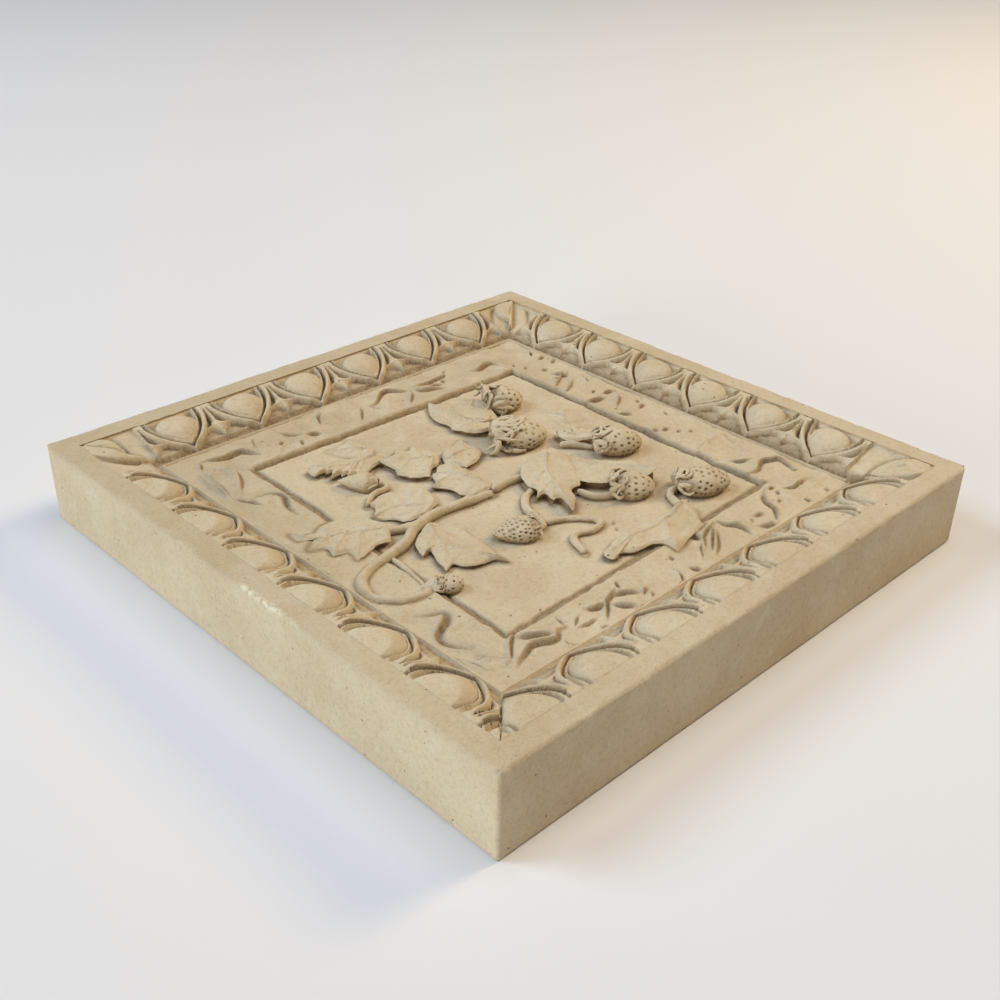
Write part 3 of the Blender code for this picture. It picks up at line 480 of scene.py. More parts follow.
def softened(field, cells):
    """Moving average of a height field over cells to either side, twice along each axis."""
    width = 2 * cells + 1
    for _ in range(2):
        for axis in (0, 1):
            pad = [(cells + 1, cells) if k == axis else (0, 0) for k in (0, 1)]
            run = np.cumsum(np.pad(field, pad, mode="edge"), axis=axis)
            front = np.take(run, range(width, run.shape[axis]), axis=axis)
            back = np.take(run, range(run.shape[axis] - width), axis=axis)
            field = (front - back) / width
    return field


def under_rim(z):
    """Heights squeezed to stay below the rim's top: of the room of 1.2 mm that is left, a height t above
    its start takes the share 1 - exp(-t / room)."""
    room = 1.2 * MM
    start = HIGH[2] - 1.25 * MM
    above = np.maximum(z - start, 0)
    return np.where(z > start, start + room * (1 - np.exp(-above / room)), z)


def hollow_share(heights, cells, depth):
    """How far a place lies below its surroundings: 0 on open ground, 1 where it is depth lower."""
    return np.clip((softened(heights, cells) - heights) / depth, 0, 1)


def make_piece(name, points, faces, sharp, recess, chip_and_highlight=None):
    """Closed mesh from points and faces: doubles merged, faces turned outwards, and edges sharp past an
    angle in degrees. The recess share gives each point its painted shade with some grime, and the last
    share its freshly broken stone and painted highlight."""
    mesh = bpy.data.meshes.new(name)
    mesh.vertices.add(len(points))
    mesh.vertices.foreach_set("co", np.ascontiguousarray(points, dtype=np.float32).ravel())
    sizes = np.concatenate([np.full(len(f), f.shape[1]) for f in faces])
    corners = np.concatenate([f.ravel() for f in faces])
    mesh.loops.add(len(corners))
    mesh.loops.foreach_set("vertex_index", corners.astype(np.int32))
    mesh.polygons.add(len(sizes))
    mesh.polygons.foreach_set("loop_start", (np.cumsum(sizes) - sizes).astype(np.int32))
    mesh.update(calc_edges=True)
    for label, values in (("recess", recess), ("chip_and_highlight", chip_and_highlight)):
        if values is not None:
            layer = mesh.attributes.new(label, "FLOAT", "POINT")
            layer.data.foreach_set("value", np.asarray(values, dtype=np.float32).ravel())
    bm = bmesh.new()
    bm.from_mesh(mesh)
    bmesh.ops.remove_doubles(bm, verts=bm.verts, dist=1e-7)
    bmesh.ops.recalc_face_normals(bm, faces=bm.faces)
    bm.to_mesh(mesh)
    bm.free()
    mesh.polygons.foreach_set("use_smooth", np.ones(len(mesh.polygons), dtype=bool))
    mesh.set_sharp_from_angle(angle=math.radians(sharp))
    piece = bpy.data.objects.new(name, mesh)
    bpy.context.scene.collection.objects.link(piece)
    mesh.materials.append(bpy.data.materials[STONE])
    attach(piece, "root")
    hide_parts("relief_tile")


def grid_faces(rows, columns, around):
    """Quads between the points of a grid, whose columns may close on themselves."""
    index = np.arange(rows * columns).reshape(rows, columns)
    if around:
        index = np.concatenate([index, index[:, :1]], axis=1)
    a, b = index[:-1, :-1].ravel(), index[:-1, 1:].ravel()
    c, d = index[1:, 1:].ravel(), index[1:, :-1].ravel()
    return np.stack([a, b, c, d], axis=1)


def make_round(name, grid, sharp, recess, chip_and_highlight=None):
    """Closed piece from a grid whose columns run round it and whose first and last rows close on
    themselves."""
    rows, columns = grid.shape[:2]
    make_piece(name, grid.reshape(-1, 3), [grid_faces(rows, columns, True)], sharp, recess, chip_and_highlight)


def make_block(name, x, y, z, foot, recess):
    """Closed block under a height field: the field, walls down its border, and a fan of triangles below."""
    rows, columns = z.shape
    top = np.stack([x, y, z], axis=-1).reshape(-1, 3)
    index = np.arange(rows * columns).reshape(rows, columns)
    border = np.concatenate([index[0, :-1], index[:-1, -1], index[-1, :0:-1], index[:0:-1, 0]])
    below = top[border].copy()
    below[:, 2] = foot
    centre = below.mean(axis=0, keepdims=True)
    first = len(top)
    count = len(border)
    low = np.arange(count) + first
    walls = np.stack([border, low, np.roll(low, -1), np.roll(border, -1)], axis=1)
    fan = np.stack([low, np.full(count, first + count), np.roll(low, -1)], axis=1)
    shade = np.concatenate([recess.ravel(), np.zeros(count + 1)])
    make_piece(name, np.concatenate([top, below, centre]),
               [grid_faces(rows, columns, False), walls, fan], sharp=55, recess=shade)


def levels(sizes):
    """Plan and height lines that the carving hangs from."""
    top = sizes.thickness
    rim = SIDE / 2 - sizes.rim
    foot = rim - sizes.moulding
    return {"top": top, "rim": rim, "foot": foot, "panel": foot - sizes.band,
            "field_z": top - sizes.field, "panel_z": top - sizes.field - sizes.panel}


def side_axes(side):
    """Unit vectors of a side in plan: along it, and inwards. Sides go round from the one at -Y."""
    turn = side * math.pi / 2
    return (np.array([math.cos(turn), math.sin(turn)]), np.array([-math.sin(turn), math.cos(turn)]))


def strip_plan(side, s, away):
    """Plan places of a side's strip: s along the side, and away from the tile's middle."""
    along, inward = side_axes(side)
    return along[0] * s - inward[0] * away, along[1] * s - inward[1] * away


def slab_grid(sizes, line):
    """Skin of the slab: each row is the rounded square at one inset and height, from the middle of the back
    out, round the bottom edge, up the sides, over the arris and the rim, and down inside to a floor under
    the carving. On the side the skin lies inwards by smooth noise. The arris is a quarter round whose
    radius differs by side, wanders by smooth noise and grows at the chips."""
    half, top = SIDE / 2, line["top"]
    corner_turn = 90 * (np.arange(SLAB_CORNER) + 0.5) / SLAB_CORNER
    turn = np.concatenate([k * 90 - 90 + np.concatenate([np.zeros(SLAB_SIDE), corner_turn])
                           for k in range(4)])
    share = np.tile(np.concatenate([np.linspace(-1, 1, SLAB_SIDE), np.ones(SLAB_CORNER)]), 4)
    side = np.repeat(np.arange(4), SLAB_SIDE + SLAB_CORNER)
    at_corner = np.tile(np.repeat([False, True], [SLAB_SIDE, SLAB_CORNER]), 4)
    radius = np.array([0.0030, 0.0014, 0.0010, 0.0012])[side]
    arris = np.array([1.15, 0.8, 0.6, 0.45]) * MM
    soft = np.where(at_corner, (arris + np.roll(arris, -1))[side] / 2, arris[side])
    angle = np.radians(turn)
    base = side * math.pi / 2
    out = np.stack([np.cos(angle), np.sin(angle)], axis=-1)
    along_axis = np.stack([np.cos(base), np.sin(base)], axis=-1)
    outward = np.stack([np.sin(base), -np.cos(base)], axis=-1)
    along = share * half
    chip_depth = np.zeros(len(turn))
    fresh_and_highlight = np.zeros(len(turn))
    for chip_side, place, reach, depth, bright in CHIPS:
        near = (side == chip_side) * np.clip(1 - ((along - place * GRID) / (reach * GRID)) ** 2, 0, 1)
        rough = 0.65 + 0.35 * lumps(on_plan(along, along * 0), 0.9 * MM, 31 + chip_side)
        chip_depth = np.maximum(chip_depth, near * rough * depth * MM)
        fresh_and_highlight = np.maximum(fresh_and_highlight, bright * np.clip(near * (0.4 + rough), 0, 1))
    edge_run = on_plan(along, side * 0.05)
    wander = 0.5 * lumps(edge_run, 2.2 * MM, 5) + 0.5 * lumps(edge_run, 5.5 * MM, 6)
    soft = soft * (1 + 0.55 * wander) + 0.8 * chip_depth
    quarter = np.radians(np.linspace(0, 90, 8))
    bottom_edge = 0.0011
    inner_edge = 0.0004
    floor = 0.012
    # Each row: its inset from the side, its height, and its share of the side's roughness
    rows = [(np.full_like(turn, half), 0.0, 0), (np.full_like(turn, half * 0.5), 0.0, 0),
            (np.full_like(turn, 0.002), 0.0, 0)]
    rows += [(bottom_edge * (1 - np.sin(a)), bottom_edge * (1 - np.cos(a)), 0.3) for a in quarter[::2]]
    rows += [(0.0, z, 1.0) for z in np.linspace(0.0016, top - 0.0024, 16)]
    rows += [(soft * (1 - np.cos(a)), top - soft * (1 - np.sin(a)), 0.6) for a in quarter]
    rows += [(inset, top, 0.0) for inset in np.linspace(0.0018, sizes.rim - 0.0005, 12)]
    rows += [(sizes.rim - inner_edge * np.cos(a), top - inner_edge * (1 - np.sin(a)), 0.0)
             for a in np.radians(np.linspace(70, 0, 4))]
    rows += [(sizes.rim + 0.0001, top - 0.002, 0), (sizes.rim + 0.0001, top - 0.004, 0),
             (sizes.rim + 0.0004, floor, 0), (np.full_like(turn, half), floor, 0)]
    grid = []
    chip_and_highlight = []
    darkening = []
    for inset, height, rough in rows:
        inset = np.broadcast_to(inset, turn.shape)
        height = np.broadcast_to(height, turn.shape)
        edge = half - inset
        curve = np.minimum(np.maximum(radius - inset, 0.0002), edge)
        straight = share * (edge - curve)
        flat = along_axis * straight[:, None] + outward * edge[:, None]
        middle = (along_axis + outward) * (edge - curve)[:, None]
        place = np.where(at_corner[:, None], middle + out * curve[:, None], flat)
        here = np.concatenate([place, height[:, None]], axis=1)
        wave = 0.5 + 0.5 * lumps(here, 14 * MM, 3)
        grain = 0.5 + 0.5 * lumps(here, 1.1 * MM, 9)
        inward = rough * (0.16 * wave + 0.08 * grain) * MM
        here[:, :2] -= out * inward[:, None]
        on_rim = (height > top - 0.0006) & (inset > 0.0001)
        dip = (0.10 * wave + 0.10 * grain) * MM + np.clip(lumps(here, 2.6 * MM, 12) - 0.45, 0, 1) * 0.5 * MM
        here[:, 2] = np.where(on_rim, height - dip, height)
        grid.append(here)
        # The arris band takes the freshly broken stone of the chips and a painted highlight
        near_arris = np.clip(1 - np.abs(inset + top - height - soft * 0.6) / 0.0009, 0, 1)
        chip_and_highlight.append(near_arris * fresh_and_highlight * (height > top - 0.003))
        # The rim and the top of the arris are darkened a little, more towards the left corner (-X +Y), with
        # smooth noise
        grey = np.clip(0.5 + 0.35 * (here[:, 1] - here[:, 0]) / half, 0, 1)
        darkening.append(np.where(on_rim | (height > top - 0.0012), 0.06 + 0.13 * grey ** 2 + 0.05 * wave, 0.0))
    return np.stack(grid), np.stack(chip_and_highlight), np.stack(darkening)


def moulding_ground(v, quirk, sizes, line):
    """Height of the moulding's plain ground at a plan distance v in from the rim, by straight runs: quirk,
    slope, cove and fillet."""
    field = line["field_z"]
    start = line["top"] - quirk
    fillet = sizes.moulding - sizes.fillet
    cove = fillet - sizes.slope
    places = (-1, 0, 0.0001, sizes.slope, sizes.slope + cove * 0.45, fillet, fillet + sizes.fillet * 0.3,
              fillet + sizes.fillet * 0.6, sizes.moulding, 1)
    heights = (start, start, start, field + sizes.cove, field + sizes.cove * 0.1, field - 0.0003,
               field + sizes.fillet_rise, field + sizes.fillet_rise, field, field)
    return np.interp(v, places, heights)


def egg_and_dart(s, v, side, sizes):
    """Height of the carving over the slope, and the painted shade beside a shell. An egg is the dome
    (1 - r^2.1)^0.6 of its own scaled radius r, wider at the rim. Its shell is an outer and an inner bead
    along a curve whose half width falls as 1 - (v / length)^2.2 to a point, with a trench between them that
    falls away as exp(-d^4). A dart is a web where |x|^0.6 + |y|^0.6 < 1, with a rib to each of its four
    points, in a slot between two shells. The two sides nearest the eye are more worn. There the dome's
    exponent is 0.75 and the eggs run up to the rim, a shell is rounder and shorter, with exponent 3.3 and
    0.94 of the length, and two more ribs flank a dart. Only the shell's arm away from the near corner keeps
    its trench there, with a bell curve of painted shadow on its wall. The trench is painted in shade as
    well."""
    count, pitch, shift, extra = EGG_RUNS[side]
    near = side in NEAR_SIDES
    form = WORN if near else CRISP
    pitch = pitch * GRID
    first = shift * GRID - (count - 1) / 2 * pitch
    number = np.clip(np.round((s - first) / pitch), 0, count - 1 + extra)
    hand = scatter(np.stack([number, number * 0 + count * 7 + round(shift)], -1).astype(np.int64), 4)
    ds = s - (first + number * pitch) - hand * 0.25 * MM
    in_run = np.abs(ds) < pitch * 0.5 + 0.2 * MM
    half_egg = sizes.egg_length / 2
    t = (v - half_egg - form["start"] * MM) / half_egg
    t = np.where(near & (t < 0), 0.62 * t, t)
    wide = sizes.egg_width / 2 * (1 - 0.26 * t) * (1 + 0.03 * hand) * form["wide"]
    r = np.hypot(ds / wide, t)
    spread = sizes.shell_spread / 2
    full = sizes.shell_length * form["shell"]
    bend = form["bend"]
    far_arm = ease(-3.5 * MM, 0.0, ds if side == 0 else -ds) if near else 1.0
    narrow = np.clip(v / full, 0, 1)
    arm = spread * (1 - narrow ** bend)
    lean = bend * spread * narrow ** (bend - 1) / full
    away = (np.abs(ds) - arm) / np.hypot(1, lean)
    away = np.where(v > full, np.hypot(ds, v - full), away)
    rest = (3.0 - 1.1 * narrow) * MM
    dome = np.clip(1 - r ** 2.1, 0, 1) ** form["dome"]
    egg = sizes.egg_rise * dome * ease(rest - 0.4 * MM, rest + 0.4 * MM, -away) ** 0.5
    outer = form["ridge"] * sizes.shell_rise * bead(away, 0.85 * MM)
    inner = 0.70 * sizes.shell_rise * bead(away + (2.55 - 0.85 * narrow) * MM, 0.42 * MM)
    wide_trench = form["trench"] * MM
    open_end = 1 - ease(15 * MM, 16.5 * MM, v)
    trench = np.exp(-((away + (1.5 - 0.40 * narrow) * MM) / wide_trench) ** 4) * open_end * far_arm
    gap = np.abs(pitch / 2 - np.abs(ds))
    down = v - 10.0 * MM
    reach = np.where(down < 0, 7.0, 5.4) * MM
    star = 1 - (gap / (6.4 * MM)) ** 0.6 - (np.abs(down - 0.22 * gap) / reach) ** 0.6
    web = 0.65 * ease(0.0, 0.35, star)
    side_rib = bead(down - 0.22 * gap, 0.75 * MM * (1.15 - gap / (7 * MM)).clip(0.1)) * (gap < 6.6 * MM)
    stem_rib = bead(gap, (0.45 + 0.03 * v / MM) * MM) * (v < 10.4 * MM)
    flank = bead(gap - (0.9 + 0.16 * v / MM) * MM, 0.42 * MM) * (v < 8.5 * MM) * near
    foot_rib = bead(gap, 0.8 * MM * (1.1 - down / (5.6 * MM)).clip(0.1, 1)) * (down > 0) * (down < 5.2 * MM)
    dart = sizes.dart_rise * np.maximum.reduce([web, side_rib, stem_rib, foot_rib, 0.9 * flank])
    dart = np.where(away > 0.3 * MM, dart, 0)
    strut = form["strut"] * MM * (1 - ease(1.9 * MM, 2.5 * MM, v)) * (away > -1.2 * MM)
    raised = np.maximum.reduce([egg, outer, inner, dart, strut])
    slot = -form["slot"] * MM * ease(0.4 * MM, 1.0 * MM, away) * ease(1.8 * MM, 2.8 * MM, v)
    slot = slot * (1 - 0.65 * ease(6 * MM, 12 * MM, v))
    shoulder = np.abs(ds) - 7.2 * MM
    pit = -0.7 * MM * bell(shoulder, 1.4 * MM) * bell(v - 1.2 * MM, 1.2 * MM)
    lowered = (slot + pit * (not near)) * (1 - ease(sizes.slope - 1.2 * MM, sizes.slope + 0.6 * MM, v))
    lowered = lowered - 1.5 * MM * trench - 0.4 * MM * ease(rest - 0.6 * MM, rest, -away)
    relief = raised + lowered * (1 - ease(0, 0.25 * MM, raised))
    # Painted shadow on the wall of the far arm's trench on the near sides, and painted shade in the trench
    wall = 1.9 * near * bell(away + 0.80 * MM, 0.50 * MM) * (v > 2 * MM) * (v < 15.5 * MM) * far_arm
    darkening = np.maximum(np.where(in_run & (raised < 0.25 * MM), trench, 0), wall)
    return np.where(in_run, relief, 0), darkening


def corner_carving(x, y, line):
    """Carving on three of the mitres, and the hollow beside it, in p along the mitre and q across it. At the
    left a leaf of two petals, each a dome whose width is a sine of p, with a crease between them. At the
    far corner half an egg beside a crest on the mitre. At the right a lobe with a curl, which is a sine of
    the distance plus the angle. The near mitre just cuts the eggs."""
    rim = line["rim"]
    p = ((rim - np.abs(x)) + (rim - np.abs(y))) / math.sqrt(2)
    q = (np.abs(x) - np.abs(y)) / math.sqrt(2)
    left, far, right = (x < 0) & (y > 0), (x > 0) & (y > 0), (x > 0) & (y < 0)

    def share(start, reach):
        """Way along the mitre from a start over a reach, both in mm."""
        return np.clip((p - start * MM) / (reach * MM), 0, 1)

    def dome(across, half, rise):
        """Dome (1 - (across / half)^2)^0.55 of a rise in mm."""
        return rise * MM * np.clip(1 - (across / (half + 1e-9)) ** 2, 0, 1) ** 0.55

    t = np.clip((p - 1.0 * MM) / (np.where(q < 0, 13.5, 20.5) * MM), 0, 1)
    wide = np.where(q < 0, 4.6, 6.4) * MM * np.sin(np.pi * t ** 0.8) ** 0.8
    petals = dome(np.abs(q) - wide * 0.5, wide * 0.5, 2.4) * np.sin(np.pi * t) ** 0.3
    petals = petals + 0.25 * MM * lumps(on_plan(x, y), 2.6 * MM, 77) * (petals > 0.6 * MM)
    u = share(1.4, 13)
    half_egg = dome(np.hypot(q / (6.0 * MM), 2 * u - 1), 1.0, 2.7) * (q < 0)
    crest = 2.2 * MM * bead(q - 0.3 * MM, 0.75 * MM) * (p > 1.0 * MM) * (p < 19 * MM)
    w = share(1.2, 18)
    broad = 5.6 * MM * np.sin(np.pi * w ** 0.9) ** 0.6
    curl_x, curl_y = q - 1.2 * MM, p - 9 * MM
    away = np.hypot(curl_x, curl_y)
    curl = 0.45 * MM * np.sin(away / (0.62 * MM) + np.arctan2(curl_y, curl_x)) * bell(away, 3.4 * MM)
    lobe = dome(q, broad, 2.4)
    lobe = lobe + curl * (lobe > 0.5 * MM)
    leaf = np.select([left, far, right], [petals, np.maximum(half_egg, crest), lobe], 0)
    edge = np.select([left, far, right], [wide, 6.0 * MM + 0 * q, broad], 0)
    hollow = -1.3 * MM * bell(np.abs(q) - edge - 1.1 * MM, 1.0 * MM) * (p > 1.5 * MM)
    return leaf, hollow * (left | far | right) * (p < 19 * MM)


def moulding_strip(side, sizes, line):
    """One mitred side of the moulding as a height field: plan distance v in from the rim down the rows, and
    the share of the mitred length along the columns. The height is the plain ground, plus the carving,
    which fades towards the mitre and the rim, plus smooth noise, roughest at the slope's foot."""
    v = np.linspace(-0.0004, sizes.moulding + 0.0001, MOULDING_ROWS)[:, None]
    s = np.linspace(-1, 1, MOULDING_COLUMNS)[None, :] * (line["rim"] - v)
    v = np.broadcast_to(v, s.shape)
    x, y = strip_plan(side, s, line["rim"] - v)
    carving, trench = egg_and_dart(s, v, side, sizes)
    to_mitre = ease(0.0, 0.7 * MM, line["rim"] - v - np.abs(s))
    carving = carving * to_mitre
    leaf, hollow = corner_carving(x, y, line)
    carving = np.where(leaf > 0.02 * MM, leaf, np.where(carving > 0.6 * MM, carving, carving + hollow))
    carving = carving * ease(0.0, 0.5 * MM, v)
    ground = moulding_ground(v, sizes.quirk * (0.4 if side in NEAR_SIDES else 1.0), sizes, line)
    z = np.minimum(ground + carving, line["top"] - 0.05 * MM)
    here = np.stack([x, y, z], axis=-1)
    rough = ease(12 * MM, 14 * MM, v) * (1 - ease(sizes.moulding - 1.8 * MM, sizes.moulding - 1.2 * MM, v))
    rough = rough * (1 - ease(0.1 * MM, 0.5 * MM, carving))
    z = z + 0.07 * MM * lumps(here, 3.0 * MM, 21) + (0.04 + 0.20 * rough) * MM * lumps(here, 0.8 * MM, 22)
    trench = trench * (leaf < 0.02 * MM) * to_mitre
    # Painted shade in the hollows, the rough cove at the slope's foot and the trench, and on the two far
    # sides a painted shadow strip along the cove
    shaded = (0.0 if side in NEAR_SIDES else 0.32) * ease(13.6 * MM, 14.6 * MM, v)
    recess = np.clip(0.8 * hollow_share(z, 4, 0.9 * MM) + 0.35 * rough + 0.35 * trench + shaded, 0, 1)
    make_block(f"moulding_{side}", x, y, z, line["field_z"] - 0.003, recess)


def ground_height(x, y, sizes, line):
    """Height of the level field and the sunk panel, and the darkening in it. The height is the field, less a
    step eased over 0.35 mm at the panel's hand-cut outline, with a lip outside and a groove at its foot as
    bell curves, plus smooth noise of four sizes and the cuts of the vine work. Low crests run over the
    field where a fifth noise is near 0. On the two sides nearest the eye a scored line with a ridge beside
    it, two bell curves, runs along the panel's edge. Painted shade lies in the foot, the scored line and the
    cuts, and as a bell curve of the distance from each stem and each leaf, stronger where the leaf is
    lifted higher. A thin mottled wash lies on the field, darker towards +Y."""
    points = np.stack([x, y], axis=-1)
    square = line["panel"] * np.array([(1, 1), (-1, 1), (-1, -1), (1, -1)], dtype=float)
    outline = square + np.array(PANEL_CORNER_SHIFTS) * MM
    depth = inside_depth(points, outline)
    here = on_plan(x, y)
    edge = depth + 0.35 * MM * lumps(here, 3.2 * MM, 41) + 0.15 * MM * lumps(here, 1.1 * MM, 42)
    step = ease(-0.15 * MM, 0.20 * MM, edge)
    lip = 0.30 * MM * bell(edge + 0.8 * MM, 0.6 * MM)
    foot = bell(edge - 0.45 * MM, 0.66 * MM)
    z = line["field_z"] - sizes.panel * step + lip - 0.85 * MM * foot
    z = z + 0.16 * MM * lumps(here, 11 * MM, 43) + 0.09 * MM * lumps(here, 2.4 * MM, 44)
    z = z + (0.32 * lumps(here, 5.5 * MM, 45) + 0.08 * lumps(here, 1.2 * MM, 46)) * MM * (1 - step)
    crest = np.clip(1.2 - np.abs(lumps(here, 6.5 * MM, 48)) / 0.20, 0, 1)
    crest = crest * ease(-0.2, 0.4, lumps(here, 11 * MM, 49))
    z = z + 0.38 * MM * crest * ease(0.8 * MM, 2.5 * MM, -edge)
    # Painted shade in the groove at the panel's foot
    dark = 0.95 * foot * ease(-0.4 * MM, 0.1 * MM, edge)
    wash = (0.06 + 0.16 * ease(0, 60 * MM, y)) * (0.7 + 0.6 * lumps(here, 4.5 * MM, 47)) * (1 - step)
    dark = np.maximum(dark, wash)
    facing = ease(-2 * MM, 2 * MM, np.maximum(-x, -y) - np.maximum(x, y))
    scored = facing * bell(edge + 0.85 * MM, 1.05 * MM)
    ridge = facing * bell(edge + 2.7 * MM, 0.70 * MM)
    z = z - 1.0 * MM * scored + 0.25 * MM * ridge
    # Painted shade in the scored line
    dark = np.maximum(dark, np.clip(1.5 * scored, 0, 0.95))
    # Painted shadow beside each leaf, stronger where the leaf is lifted higher, and beside each stem
    for knots, _, lift_root, lift_tip, _ in LEAVES.values():
        strength = np.clip(0.75 + 0.19 * (lift_root + lift_tip), 0.08, 0.8)
        plan = np.array([knot[:2] for knot in knots]) * GRID
        close = close_to(points, plan, 3 * MM)
        if close.any():
            beside = inside_depth(points[close], curve_through(plan, 90, closed=True))
            dark[close] = np.maximum(dark[close], strength * bell(beside, 0.9 * MM))
    for knots, width, _ in STEMS.values():
        path = curve_through(np.array(knots) * GRID, 6 * len(knots))
        close = close_to(points, path, 4 * MM)
        if close.any():
            beside = to_stroke(points[close], path)[0] - width / 2 * MM
            dark[close] = np.maximum(dark[close], 0.75 * bell(beside, 0.65 * MM))
    for cut in CUTS:
        change, darkening = cut_line(points, *cut, sizes)
        z = z + change
        dark = np.maximum(dark, darkening)
    return z, dark


def band_strip(side, sizes, line, under):
    """One mitred side of the level band as a height field down to under: rows by their distance from the
    tile's middle, closest over the panel's edge, and the share of the mitred length along the columns."""
    outer = line["foot"] + 0.0003
    edge = line["panel"] + 0.0024
    away = np.concatenate([np.linspace(outer, edge, BAND_OUTER_ROWS, endpoint=False),
                           np.linspace(edge, panel_edge(line), BAND_INNER_ROWS)])[:, None]
    s = np.linspace(-1, 1, BAND_COLUMNS)[None, :] * away
    away = np.broadcast_to(away, s.shape)
    x, y = strip_plan(side, s, away)
    z, dark = ground_height(x, y, sizes, line)
    z = z - 0.3 * MM * ease(line["foot"] - 0.0001, line["foot"] + 0.0002, away)
    # Painted shade in the band's hollows, with the ground's painted shade
    recess = np.maximum(0.7 * hollow_share(z, 3, 0.8 * MM), dark)
    make_block(f"band_{side}", x, y, z, under, recess)


def panel_edge(line):
    """Distance from the tile's middle at which the bands end and the panel's ground starts."""
    return line["panel"] - 0.0036


def cut_line(points, knots, width, rise, reach, sizes):
    """Line cut in the ground: its change of height, and the painted shade in its groove. The groove is a
    bell curve of the distance from the line, 0.62 of its width deep and narrower towards the ends. On its
    left hand a ledge starts at the groove and falls away as a wider bell curve. Both fade to the ends as
    sin^0.5 of the way along."""
    path = curve_through(np.array(knots) * GRID, 7 * len(knots))
    margin = (2.2 * reach + 1.5) * MM
    change = np.zeros(points.shape[:-1])
    darkening = np.zeros(points.shape[:-1])
    close = close_to(points, path, margin)
    if not close.any():
        return change, darkening
    place = points[close]
    away, share = to_stroke(place, path)
    index = np.round(share * (len(path) - 1)).astype(int)
    step = np.gradient(path, axis=0)[index]
    off = place - path[index]
    left = step[:, 0] * off[:, 1] > step[:, 1] * off[:, 0]
    fade = np.sin(np.pi * np.clip(share, 0.04, 0.96)) ** 0.5
    half = 0.58 * width * MM * (0.55 + 0.45 * fade)
    groove = bell(away, half) * fade
    ledge = rise * (sizes.vine_rise / (0.8 * MM)) * MM * bell(away, 1.15 * reach * MM)
    ledge = ledge * (1 - bell(away, 0.8 * half)) * left * fade
    change[close] = 2.7 * ledge - 0.62 * width * MM * groove
    # Painted shade in the groove, stronger for wider cuts
    darkening[close] = np.clip(1.2 * groove, 0, 0.95) * min(1.0, 0.5 + 0.5 * width)
    return change, darkening


